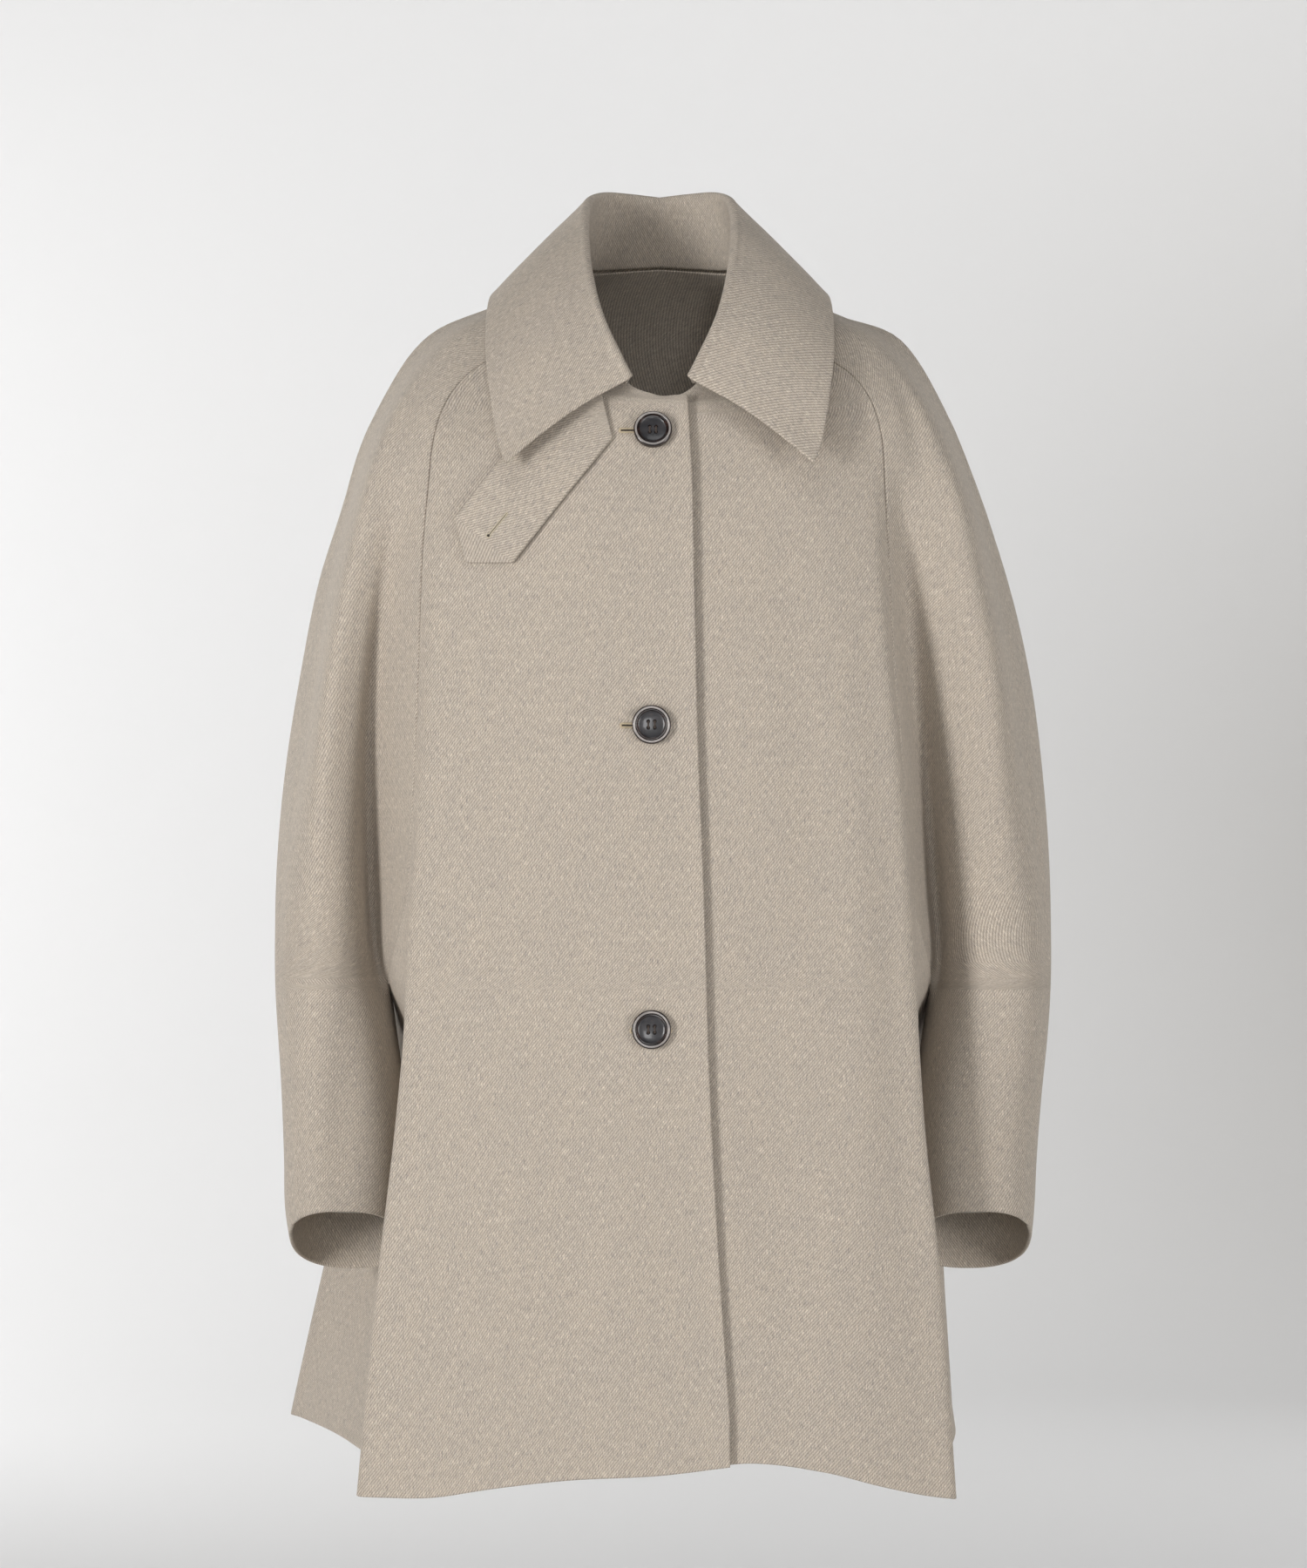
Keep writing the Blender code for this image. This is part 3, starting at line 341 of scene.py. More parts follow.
def at_z(table, name, z, side=None):
    """Value of a table's column at a height, on one side where it has two."""
    return look_up(table, sided(name, side) if side else name, "z", z)


def unit(way):
    return way / np.linalg.norm(way)


def hem_height(place):
    """Hem height at a place: 1 front fold, 2 side seam, 3 bend at the back, 4 its middle."""
    stops = {"p": (1, 2, 3, 4), "z": (HEM_FOLD_Z, HEM_SIDE_Z, HEM_BEND_Z, HEM_BACK_Z)}
    return look_up(stops, "z", "p", place)


def body_front(side, z, drop):
    """Row of the front at a level, from the middle to the fold. drop shares out the hem's slope."""
    fold = at_z(BODY, "fold", z, side)
    front = at_z(BODY, "front", z)
    fold_y = at_z(BODY, "fold_y", z)
    points = []
    for share in FRONT_SHARES:
        x = side * fold * share
        y = front + (fold_y - front) * abs(share) ** FRONT_CURVE
        hem = look_up(HEM_FRONT, "z", "x", x)
        points.append((x, y, z + drop * (hem - HEM_BASE_Z)))
    return points


def side_points(side, z, drop):
    """Points of the body's side under the arm, from the front fold to the back bend."""
    front = at_z(SIDE, "front", z)
    seam = at_z(SIDE, "seam", z)
    fold = at_z(BODY, "fold", z, side)
    fold_y = at_z(BODY, "fold_y", z)
    lift = drop * (hem_height(1.5) - HEM_BASE_Z)
    return [
        (side * (fold + front) * 0.5 + side * SIDE_SWELL, (fold_y + SIDE_FRONT_Y) * 0.5, z + lift),
        (side * front, SIDE_FRONT_Y, z + lift),
        (side * seam, SIDE_SEAM_Y, z + drop * (HEM_SIDE_Z - HEM_BASE_Z)),
    ]


def body_back(side, z, drop):
    """Row of the back at a level, from the side seam round the bend to the middle."""
    bend = at_z(BODY, "bend", z, side)
    bend_y = at_z(BODY, "bend_y", z)
    back = at_z(BODY, "back", z)
    points = []
    for share in BACK_SHARES:
        y = back + (bend_y - back) * share ** BACK_CURVE
        height = hem_height(4 - share)
        points.append((side * bend * share, y, z + drop * (height - HEM_BASE_Z)))
    return points


def turn_share(z):
    """How far the raglan seam has turned under the arm at a level, 0 to 1."""
    left = min(max((z - UNDERARM_Z) / (TURN_Z - UNDERARM_Z), 0.0), 1.0)
    return 1 - math.sqrt(left)


def drop_share(z):
    """How much of the hem's slope a row takes up."""
    return ease(-z, -SLOPE_FROM_Z, -HEM_BASE_Z)


def fine_levels(levels):
    """The levels with more between them, so that no two are further apart than LEVEL_STEP."""
    out = [float(levels[0])]
    for a, b in zip(levels, levels[1:]):
        steps = max(1, int(math.ceil((a - b) / LEVEL_STEP)))
        out.extend(a + (b - a) * k / steps for k in range(1, steps + 1))
    return out


def row_levels():
    """Heights of the body's rows below the shoulder corner."""
    return fine_levels(ARM_LEVELS) + fine_levels((UNDERARM_Z,) + SKIRT_LEVELS)[1:]


def part_of(line, first, last):
    """Stretch of a line between two places counted in points, which may lie between points."""
    at = np.arange(len(line), dtype=float)
    inner = at[(at > first + 1e-6) & (at < last - 1e-6)]
    at_new = np.concatenate([[first], inner, [last]])
    return points_at(line, at, at_new)


def spaced_in(line, breaks, counts, close_up=()):
    """Spaces out a row between breaks, which are distances along it.

    close_up names the stretches whose columns crowd towards their start (1) or their end (-1)."""
    at = [breaks[0]]
    for n, (low, high, count) in enumerate(zip(breaks, breaks[1:], counts)):
        share = np.linspace(0, 1, count + 1)[1:]
        crowd = dict(close_up).get(n, 0)
        if crowd > 0:
            share = share ** CLOSE_UP
        if crowd < 0:
            share = 1 - (1 - share) ** CLOSE_UP
        at.extend(low + (high - low) * share)
    return points_at(line, run_of(line), at)


def length_of(line):
    return float(np.linalg.norm(np.diff(line, axis=0), axis=1).sum())


def fold_return(fold, target, z):
    """Point a little way round a fold, towards the target."""
    far = RETURN[0] + (RETURN[1] - RETURN[0]) * ease(-z, -SHOULDER_Z, -RETURN_FULL_Z)
    way = np.array(target[:2]) - np.array(fold[:2])
    way = unit(way)
    return (fold[0] + way[0] * far, fold[1] + way[1] * far, fold[2])


def mix(a, b, share):
    return tuple(p + (q - p) * share for p, q in zip(a, b))


def front_row(side, z):
    """Front row from past the middle to the raglan or side seam, and its length past the fold."""
    drop = drop_share(z)
    row = body_front(side, z, drop)
    turn = turn_share(z)
    level_z = row[-1][2]
    dip_x, dip_y = (at_z(SLEEVE, name, z, side) for name in ("dip_x", "dip_y"))
    dip = (side * dip_x, dip_y, level_z)
    sides = side_points(side, z, drop)
    back = fold_return(row[-1], mix(dip, sides[1], turn), z)
    if turn <= 0:
        line = smooth_line(row + [back])
    else:
        keys = row + [back] + sides[1:]
        stop = len(row) + (len(keys) - 1 - len(row)) * turn
        line = part_of(smooth_line(keys), 0, stop * FINE)
    return line, length_of(line[(len(row) - 1) * FINE:])


def back_row(side, z):
    """Back row from the raglan or side seam to the middle, and its length before the bend."""
    drop = drop_share(z)
    row = body_back(side, z, drop)
    turn = turn_share(z)
    rear = at_z(SIDE, "rear", z, side)
    seam = at_z(SIDE, "seam", z)
    lift = z + drop * (hem_height(2.5) - HEM_BASE_Z)
    nook = (side * at_z(SLEEVE, "nook_x", z), at_z(SLEEVE, "nook_y", z), lift)
    rear_point = (side * rear, SIDE_REAR_Y, lift)
    begin = fold_return(row[0], mix(nook, rear_point, turn), z)
    if turn <= 0:
        line = smooth_line([begin] + row)
        first = 1
    else:
        seam_point = (side * seam, SIDE_SEAM_Y, z + drop * (HEM_SIDE_Z - HEM_BASE_Z))
        first = 3
        full = smooth_line([seam_point, rear_point, begin] + row)
        skip = 2 * (1 - turn) * FINE
        return part_of(full, skip, len(full) - 1), length_of(part_of(full, skip, first * FINE))
    return line, length_of(line[: first * FINE + 1])


def cut_at_x(line, x, side):
    """Cuts a front row, which runs from past the middle outwards, where it passes x."""
    xs = line[:, 0] * side
    first = int(np.argmax(xs > x * side))
    a, b = line[first - 1], line[first]
    u = (x * side - a[0] * side) / (b[0] * side - a[0] * side)
    return np.vstack([a + (b - a) * u, line[first:]])


def front_edge_x(side, z):
    """Where a front ends at the overlap."""
    if side < 0:
        return at_z(EDGE, "x", z)
    return UNDER_EDGE


def set_under(rows, side):
    """Moves the lower front back square to itself, by the most at the overlap."""
    out = []
    for row, normals in zip(rows, grid_normals(rows)):
        share = np.array([1 - ease(p[0] * side, *UNDER_REACH) for p in row])
        out.append(row - normals * (share * UNDER_STEP)[:, None])
    return out


def fan(neck, first, edge_start, edge_end, count):
    """Rows between the neck edge and the first full row, tied to the edges at both ends."""
    rows = []
    cols = len(neck)
    for i in range(count):
        v = i / count
        row = []
        for j in range(cols):
            u = j / (cols - 1)
            flat = (1 - v) * neck[j] + v * first[j]
            start = edge_start[i] - ((1 - v) * neck[0] + v * first[0])
            end = edge_end[i] - ((1 - v) * neck[-1] + v * first[-1])
            row.append(flat + (1 - u) * start + u * end)
        rows.append(np.array(row))
    return rows


def neck_line(side, start, end, fine=12):
    """Stretch of the neck edge between two places on it."""
    steps = max(2, int(round(abs(end - start) * fine)))
    table = dict(NECK, n=tuple(range(len(NECK["x"]))))
    out = []
    for i in range(steps + 1):
        at = start + (end - start) * i / steps
        x, y, z = (look_up(table, axis, "n", at) for axis in "xyz")
        out.append((side * x, y, z))
    return np.array(out)


def front_spaced(line, past):
    """Spaces out a front's row, with close columns round its fold."""
    total = length_of(line)
    end = total - SEAM / 2
    return spaced_in(line, (0, total - past - FOLD, total - past, end), FRONT_COLS, ((2, 1),))


def front_grid(side):
    """Points of a front, from the overlap edge outwards and from the neck down."""
    rows = []
    for z in row_levels():
        line, past = front_row(side, z)
        rows.append(front_spaced(cut_at_x(line, front_edge_x(side, z), side), past))
    neck = neck_line(side, 0, NECK_RAGLAN)
    across = front_edge_x(side, NECK["z"][0])
    start = np.array([(x, NECK["y"][0], NECK["z"][0]) for x in np.linspace(across, 0, 8)[:-1]])
    neck = front_spaced(np.vstack([start, neck]), RETURN[0])
    first = rows[0]
    seam = raglan_line(side, "front")
    edge = spaced(np.array([neck[0], first[0]]), NECK_ROWS + 1)
    inward = (first[-1] - first[-2]) / np.linalg.norm(first[-1] - first[-2])
    ends = [p - inward * SEAM / 2 for p in seam]
    ends[0] = neck[-1]
    rows = fan(neck, first, edge, ends, NECK_ROWS) + rows
    if side > 0:
        rows = set_under(rows, side)
    return rows


def raglan_line(side, which):
    """The raglan seam from the neck to the first full row, one point for each fan row."""
    table = RAGLAN_FRONT if which == "front" else RAGLAN_BACK
    points = [(side * x, y, z) for x, y, z in zip(table["x"], table["y"], table["z"])]
    if which == "front":
        points.append(tuple(front_row(side, SHOULDER_Z)[0][-1]))
    else:
        points.append(tuple(back_row(side, SHOULDER_Z)[0][0]))
    return spaced(smooth_line(points), NECK_ROWS + 1)


def back_spaced(line, past_a, past_b):
    """Spaces out a row of the back, with close columns round its two bends."""
    total = length_of(line)
    near = total - past_b
    breaks = (SEAM / 2, past_a, past_a + FOLD, near - FOLD, near, total - SEAM / 2)
    return spaced_in(line, breaks, BACK_COLS, ((0, -1), (4, 1)))


def back_grid():
    """Points of the back from the wearer's right to the left, and from the neck down."""
    rows = []
    for z in row_levels():
        one, past_one = back_row(-1, z)
        two, past_two = back_row(1, z)
        rows.append(back_spaced(np.vstack([one, two[::-1][1:]]), past_one, past_two))
    half = len(NECK["x"]) - 1
    neck = np.vstack([neck_line(-1, NECK_BACK, half), neck_line(1, half, NECK_BACK)[1:]])
    neck = back_spaced(neck, RETURN[0], RETURN[0])
    starts = raglan_line(-1, "back")
    ends = raglan_line(1, "back")
    starts[:, 0] += SEAM / 2
    ends[:, 0] -= SEAM / 2
    starts[0], ends[0] = neck[0], neck[-1]
    return fan(neck, rows[0], starts, ends, NECK_ROWS) + rows


def sleeve_point(side, z):
    """Named points of the open part of the sleeve at a level."""
    out = at_z(SLEEVE, "out", z, side)
    low = ease(-z, -SHOULDER_Z, TUBE_BLEND)
    names = ("rear_x", "rear_y", "nook_x", "nook_y", "out_y")
    get = {name: at_z(SLEEVE, name, z) for name in names}
    for name in ("dip_x", "dip_y", "face_x", "face_y"):
        get[name] = at_z(SLEEVE, name, z, side)
    shift = out - at_z(SLEEVE, "out_l", z)
    over_x = out - (OVER_IN[0] + (OVER_IN[1] - OVER_IN[0]) * low)
    over_y = OVER_Y[0] + (OVER_Y[1] - OVER_Y[0]) * low
    face_x = get["face_x"] + shift
    rise_x = get["dip_x"] + (face_x - get["dip_x"]) * RISE[0]
    rise_y = get["dip_y"] + (get["face_y"] - get["dip_y"]) * RISE[1]
    return {
        "dip": (side * get["dip_x"], get["dip_y"], z),
        "rise": (side * rise_x, rise_y, z),
        "face": (side * face_x, get["face_y"], z),
        "over": (side * over_x, over_y, z),
        "out": (side * out, get["out_y"], z),
        "rear": (side * (get["rear_x"] + shift), get["rear_y"], z),
        "nook": (side * get["nook_x"], get["nook_y"], z),
    }


def tube_ring(side, t):
    """Closed ring of the lower sleeve: front half, from inner to overarm seam, and back half."""
    z = look_up(TUBE, "z", "t", t)
    out = look_up(TUBE, sided("out", side), "t", t)
    inner = look_up(TUBE, "in_x", "t", t)
    mid_y = look_up(TUBE, "mid_y", "t", t)
    half_y = look_up(TUBE, "half_y", "t", t)
    mid_x = (out + inner) / 2
    half_x = (out - inner) / 2
    tilt = math.tan(math.radians(CUFF_TILT)) * t

    def at(degrees):
        a = math.radians(degrees)
        c, s = math.cos(a), math.sin(a)
        square = (abs(c) ** TUBE_SQUARE + abs(s) ** TUBE_SQUARE) ** (-1 / TUBE_SQUARE)
        y = mid_y + half_y * s * square
        return (side * (mid_x + half_x * c * square), y, z - (y - mid_y) * tilt)

    front = [at(180 + a) for a in range(0, OVER_ANGLE + 1, TUBE_STEP)]
    back = [at(180 + a) for a in range(OVER_ANGLE, 361, TUBE_STEP)]
    return front, back


def sleeve_spaced(line, valley, which):
    """Spaces out a sleeve row, with a column at its valley, a distance along it or None."""
    counts = SLEEVE_FRONT_COLS if which == "front" else SLEEVE_BACK_COLS
    total = length_of(line)
    if valley is None:
        valley = total * VALLEY_SHARE[which]
    return spaced_in(line, (SEAM / 2, valley, total - SEAM / 2), counts)


def half_ring(side, t, which):
    front, back = tube_ring(side, t)
    return sleeve_spaced(smooth_line(front if which == "front" else back[::-1], 6), None, which)


def open_row(side, z, which):
    """Row of the open sleeve at a level, from the raglan seam to the overarm seam."""
    p = sleeve_point(side, z)
    if which == "front":
        start = front_row(side, z)[0][-1]
        keys = [start, p["dip"], p["rise"], p["face"], p["over"]]
    else:
        start = back_row(side, z)[0][0]
        keys = [start, p["nook"], p["rear"], p["out"], p["over"]]
    apart = ARM_GAP * turn_share(z) ** 2
    keys[0] = (keys[0][0] + side * apart, keys[0][1], keys[0][2])
    line = smooth_line(keys)
    return sleeve_spaced(line, length_of(line[: FINE + 1]), which)


def sleeve_grid(side, which):
    """Points of half a sleeve, from the raglan or inner seam to the overarm seam."""
    seam = raglan_line(side, which)
    ridge = spaced(table_line(RIDGE_R if side > 0 else RIDGE_L, side), NECK_ROWS + 1)
    outward = -1 if which == "front" else 1
    first = open_row(side, SHOULDER_Z, which)
    start = NECK_RAGLAN if which == "front" else NECK_BACK
    rows = [sleeve_spaced(neck_line(side, start, NECK_RIDGE, 40), None, which)]
    for i in range(1, NECK_ROWS):
        v = i / NECK_ROWS
        b = ridge[i] + (first[-1] - ridge[-1]) * v
        swell_x, swell_y, swell_z = SHOULDER_SWELL
        bulge = np.array([side * swell_x * v, outward * swell_y, swell_z])
        arch = smooth_line([seam[i], (seam[i] + b) / 2 + bulge, b])
        rows.append(sleeve_spaced(arch, None, which))
    swell = half_ring(side, 0, which) - open_row(side, UNDERARM_Z, which)
    swell[0] = 0
    for z in fine_levels(ARM_LEVELS)[:-1]:
        rows.append(open_row(side, z, which) + swell * ease(-z, TUBE_BLEND, -UNDERARM_Z))
    rows += [half_ring(side, i / CUFF_ROWS, which) for i in range(CUFF_ROWS + 1)]
    return rows


def collar_station(u):
    """Section of the collar at a share of its length, from the wearer's right end to the left."""
    place = abs(u * 2 - 1)
    side = 1 if u > 0.5 else -1
    rows = len(COLLAR["n"])
    table = dict(COLLAR, row=tuple(range(rows)))
    at = (1 - place) * (rows - 1)

    def named(part):
        x, y, z = (look_up(table, part + "_" + axis, "row", at) for axis in "xyz")
        return np.array((side * x, y, z))

    roll, edge = named("roll"), named("edge")
    n = look_up(table, "n", "row", at)
    neck = neck_line(side, n, n + 0.01, 1)[0]
    out = edge - roll
    out[2] = 0
    out = unit(out)
    base = neck - out * WALL * ease(n, *COLLAR_SINK)
    rise = roll - base
    base = base + unit(rise) * COLLAR_RISE
    down = unit(base - roll) + unit(edge - roll)
    up = -unit(down)
    across = edge - base
    across = across - up * (across @ up)
    across = unit(across)
    low = roll - up * COLLAR_FOLD
    turn = []
    for k in range(FOLD_POINTS):
        a = math.pi * k / (FOLD_POINTS - 1)
        turn.append(low - across * COLLAR_FOLD * math.cos(a) + up * COLLAR_FOLD * math.sin(a))
    start = turn[-1]
    bow = np.array((0, 0, 1.0)) * COLLAR_BOW + out * COLLAR_BOW_OUT
    near = (start * 2 + edge) / 3 + bow
    far = (start + edge * 2) / 3 + bow * BOW_LOWER
    stand = smooth_line([base, (base + turn[0]) / 2, turn[0]])
    return stand, smooth_line(turn), smooth_line([start, near, far, edge])


def collar_grid():
    """Points of the collar, from the wearer's right end round the neck to the left end."""
    rows = []
    for i in range(COLLAR_STATIONS + 1):
        stand, over, fall = collar_station(i / COLLAR_STATIONS)
        stand, over = spaced(stand, STAND_COLS)[:-1], spaced(over, ROLL_COLS)[:-1]
        rows.append(np.vstack([stand, over, spaced(fall, FALL_COLS)]))
    return rows


def front_surface(x, z):
    """Depth of the upper front at a place."""
    line = body_front(-1, z, 0.0)
    xs = [p[0] for p in line][::-1]
    ys = [p[1] for p in line][::-1]
    return float(np.interp(x, xs, ys))


def tab_grid():
    """Points of the chin tab, which follow the front's own surface and are moved out."""
    tip = np.array(TAB_TIP, float)
    root = np.array(TAB_ROOT, float)
    along = (root - tip) / np.linalg.norm(root - tip)
    across = np.array((along[1], -along[0]))
    length = np.linalg.norm(root - tip)
    rows = []
    tip_rows = np.linspace(0, TAB_POINT, 9)
    middle = np.linspace(TAB_POINT, length - TAB_POINT, TAB_ROWS - 15)
    stops = [*tip_rows, *middle[1:-1], *(length - tip_rows[::-1])]
    for i in range(TAB_ROWS + 1):
        s = stops[i]
        widening = (1 - TAB_BLUNT) * min(s, length - s) / TAB_POINT
        half = TAB_WIDTH / 2 * min(1.0, TAB_BLUNT + widening)
        row = []
        for j in range(TAB_COLS + 1):
            w = half * (2 * j / TAB_COLS - 1)
            x, z = tip + along * s + across * w
            y = front_surface(x, z) - WALL - LAY - TAB_LIFT
            row.append((x, y, z))
        rows.append(np.array(row))
    return rows


# Solid pieces of cloth
def grid_normals(rows, closed=False):
    """Directions square to a grid of points, from the steps along and across it."""
    p = np.array(rows, float)
    down = np.gradient(p, axis=0)
    if closed:
        across = (np.roll(p, -1, axis=1) - np.roll(p, 1, axis=1)) / 2
    else:
        across = np.gradient(p, axis=1)
    n = np.cross(down, across)
    n /= np.linalg.norm(n, axis=2)[:, :, None] + 1e-12
    return n


def even_out(rows, centre, reach, passes, column_share=None):
    """Softens the bend in a grid's columns round one of its rows."""
    p = np.array(rows, float)
    at = np.arange(len(p))
    share = np.clip(1 - np.abs(at - centre) / reach, 0, 1)
    share = (share * share * (3 - 2 * share))[:, None, None]
    if column_share is not None:
        share = share * np.asarray(column_share)[None, :, None]
    for _ in range(passes):
        middle = p.copy()
        middle[1:-1] = (p[:-2] + p[2:]) / 2
        p += (middle - p) * share * 0.5
    return p


def more_columns(p):
    """Adds the lines that shape the first and the last column's edges."""
    out = []
    for row in p:
        run = run_of(row)
        total = run[-1]
        stops = np.array(EDGE_STOPS) * min(1.0, total * 0.3 / EDGE_STOPS[-1])
        inner = stops[-1] + run / total * (total - 2 * stops[-1])
        at = np.concatenate([stops[:-1], inner, total - stops[:-1][::-1]])
        out.append(points_at(row, run, at))
    return np.array(out)


def more_rows(p):
    """Adds the lines that shape the first and the last row's edges."""
    def between(a, b):
        gap = np.linalg.norm(b - a, axis=1)[:, None]
        return [a + (b - a) * np.minimum(stop / gap, 0.9) for stop in EDGE_STOPS[1:]]

    return np.array([p[0], *between(p[0], p[1]), *p[1:-1], *between(p[-1], p[-2])[::-1], p[-1]])


def panel_of(rows, turn=1):
    """Points and outward directions of a piece's grid. turn: -1 where the grid faces inwards."""
    p = more_rows(more_columns(np.array(rows)))
    return p, turn * grid_normals(p)


def run_across(p):
    """Distance of each point of a grid from the start of its row."""
    across = np.cumsum(np.linalg.norm(np.diff(p, axis=1), axis=2), axis=1)
    return np.concatenate([np.zeros((len(p), 1)), across], axis=1)


def edge_distance(p):
    """Distance of each point of a grid from its start and end column and its first and last row."""
    across = run_across(p)
    down = np.cumsum(np.linalg.norm(np.diff(p, axis=0), axis=2), axis=0)
    down = np.concatenate([np.zeros((1, p.shape[1])), down])
    return across, across[:, -1:] - across, down, down[-1:] - down


def share_normals(panels):
    """Gives panels that meet at a seam one direction there, so their walls lie side by side."""
    keys, places, ways = [], [], []
    for name, (p, n) in panels.items():
        last, end = p.shape[0] - 1, p.shape[1] - 1
        for i in range(last + 1):
            for j in ((0, end) if 0 < i < last else range(end + 1)):
                keys.append((name, i, j))
                places.append(p[i, j])
                ways.append(n[i, j])
    places, ways = np.array(places), np.array(ways)
    for (name, i, j), place in zip(keys, places):
        near = np.linalg.norm(places - place, axis=1) < SEAM_REACH
        total = ways[near].sum(axis=0)
        panels[name][1][i, j] = total / np.linalg.norm(total)


def settle_normals(n, lines=5):
    """Lets the shared directions at the edges fade into the cloth."""
    for side in (0, 1):
        m = np.swapaxes(n, 0, 1) if side else n
        for k in range(1, lines):
            u = k / lines
            m[k] = m[0] * (1 - u) + m[k] * u
            m[-1 - k] = m[-1] * (1 - u) + m[-1 - k] * u
    n /= np.linalg.norm(n, axis=2)[:, :, None] + 1e-12
    return n


def add_object(name, data):
    ob = bpy.data.objects.new(name, data)
    bpy.context.scene.collection.objects.link(ob)
    return ob


def add_piece(name, mesh, mat, turn_out=True, smooth=True):
    """Object for a mesh, with its faces turned outwards and its shading smooth if asked."""
    if turn_out:
        bm = bmesh.new()
        bm.from_mesh(mesh)
        bmesh.ops.recalc_face_normals(bm, faces=bm.faces)
        bm.to_mesh(mesh)
        bm.free()
    if smooth:
        mesh.polygons.foreach_set("use_smooth", [True] * len(mesh.polygons))
    mesh.materials.append(mat)
    return add_object(name, mesh)


def mesh_of(name, verts, faces):
    mesh = bpy.data.meshes.new(name)
    mesh.from_pydata(verts, [], faces)
    return mesh


def cloth(name, p, n, mat, edges=("seam",) * 4, thick=WALL, closed=False):
    """A wall of cloth on a grid. edges: how the start, end, first and last edges are finished."""
    if not closed:
        far = edge_distance(p)
    sink_out = np.zeros(p.shape[:2])
    sink_in = np.zeros(p.shape[:2])
    r = thick / 2
    if not closed:
        for kind, d in zip(edges, far):
            if kind == "turned":
                rolled = r - np.sqrt(np.maximum(r * r - (r - np.minimum(d, r)) ** 2, 0))
                rolled = np.minimum(rolled, r * 0.93)
                sink_out = np.maximum(sink_out, rolled)
                sink_in = np.maximum(sink_in, rolled)
            elif kind == "seam":
                dip = SEAM_DIP * np.clip(1 - d / EDGE_STOPS[-1], 0, 1) ** 1.6
                sink_out = np.maximum(sink_out, dip)
    outer = p - n * sink_out[:, :, None]
    inner = p - n * (thick - sink_in)[:, :, None]
    rows, cols = p.shape[:2]
    verts = np.concatenate([outer.reshape(-1, 3), inner.reshape(-1, 3)]) * MM
    count = rows * cols
    span = cols if closed else cols - 1
    i, j = np.meshgrid(np.arange(rows - 1), np.arange(span), indexing="ij")
    k = (j + 1) % cols
    corners = (i * cols + j, (i + 1) * cols + j, (i + 1) * cols + k, i * cols + k)
    quads = np.stack(corners, axis=-1).reshape(-1, 4)
    faces = [tuple(q) for q in quads]
    faces += [tuple(q[::-1] + count) for q in quads]
    for i in (0, rows - 1):
        for j in range(span):
            k = (j + 1) % cols
            one, two = i * cols + j, i * cols + k
            q = (one, two, count + two, count + one)
            faces.append(q if i == 0 else q[::-1])
    if not closed:
        for j in (0, cols - 1):
            for i in range(rows - 1):
                one, two = i * cols + j, (i + 1) * cols + j
                q = (one, two, count + two, count + one)
                faces.append(q[::-1] if j == 0 else q)
    mesh = mesh_of(name, verts.tolist(), faces)
    flat = np.stack(grain_of(p), axis=-1).reshape(-1, 2) / UV_UNIT
    flat = np.concatenate([flat, flat])
    layer = mesh.uv_layers.new(name="grain")
    loops = np.zeros(len(mesh.loops), int)
    mesh.loops.foreach_get("vertex_index", loops)
    layer.data.foreach_set("uv", flat[loops].ravel())
    mesh.validate()
    ob = add_piece(name, mesh, mat)
    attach(ob, "root")
    return ob


def grain_of(p):
    """Place of each point on its own cut piece, in mm: across the grain and along it."""
    down = np.cumsum(np.linalg.norm(np.diff(p, axis=0), axis=2).mean(axis=1))
    down = np.concatenate([[0], down])
    return run_across(p), np.repeat(down[:, None], p.shape[1], axis=1)


# Panels on the CAD's forms
def make_panels():
    """Grids of the seven panels, with soft shoulders and the folds of the worn cloth."""
    grids = {"front_right": front_grid(-1), "front_left": front_grid(1), "back": back_grid()}
    for side, word in ((-1, "right"), (1, "left")):
        grids["sleeve_front_" + word] = sleeve_grid(side, "front")
        grids["sleeve_back_" + word] = sleeve_grid(side, "back")
    panels = {}
    for name, rows in grids.items():
        p = np.array(rows)
        cols = p.shape[1]
        share = np.ones(cols)
        if name.startswith("front"):
            share[:HELD_COLS] = np.linspace(0, 1, HELD_COLS)
        if name.startswith("sleeve"):
            share = np.clip((cols - 1 - np.arange(cols)) / 12, 0.03, 1)
        p = even_out(p, NECK_ROWS, SHOULDER_REACH, EVEN_PASSES, share)
        if name.startswith("sleeve"):
            under = len(p) - 1 - CUFF_ROWS
            inner = np.clip((np.arange(cols) - 1) / 7, 0, 1)
            p = even_out(p, under, UNDERARM_REACH, EVEN_PASSES, inner)
        turn = -1 if name in TURNED else 1
        p, n = panel_of(p, turn)
        start, end, _, _ = edge_distance(p)
        high = relief(name, p)
        if name == "front_right":
            high += EDGE_RAISE * np.exp(-((start / EDGE_RAISE_WIDTH) ** 2))
        if name == "front_left":
            high -= UNDER_SINK * (1 - np.clip((start - UNDER_SINK_TO) / UNDER_SINK_FADE, 0, 1))
        if name.startswith("sleeve_front"):
            high += SEAM_RIDGE * np.exp(-((end / SEAM_RIDGE_WIDTH) ** 2))
        p = p + n * high[:, :, None]
        panels[name] = (p, turn * grid_normals(p))
    share_normals(panels)
    for name, (p, n) in panels.items():
        panels[name] = (p, settle_normals(n))
    return panels


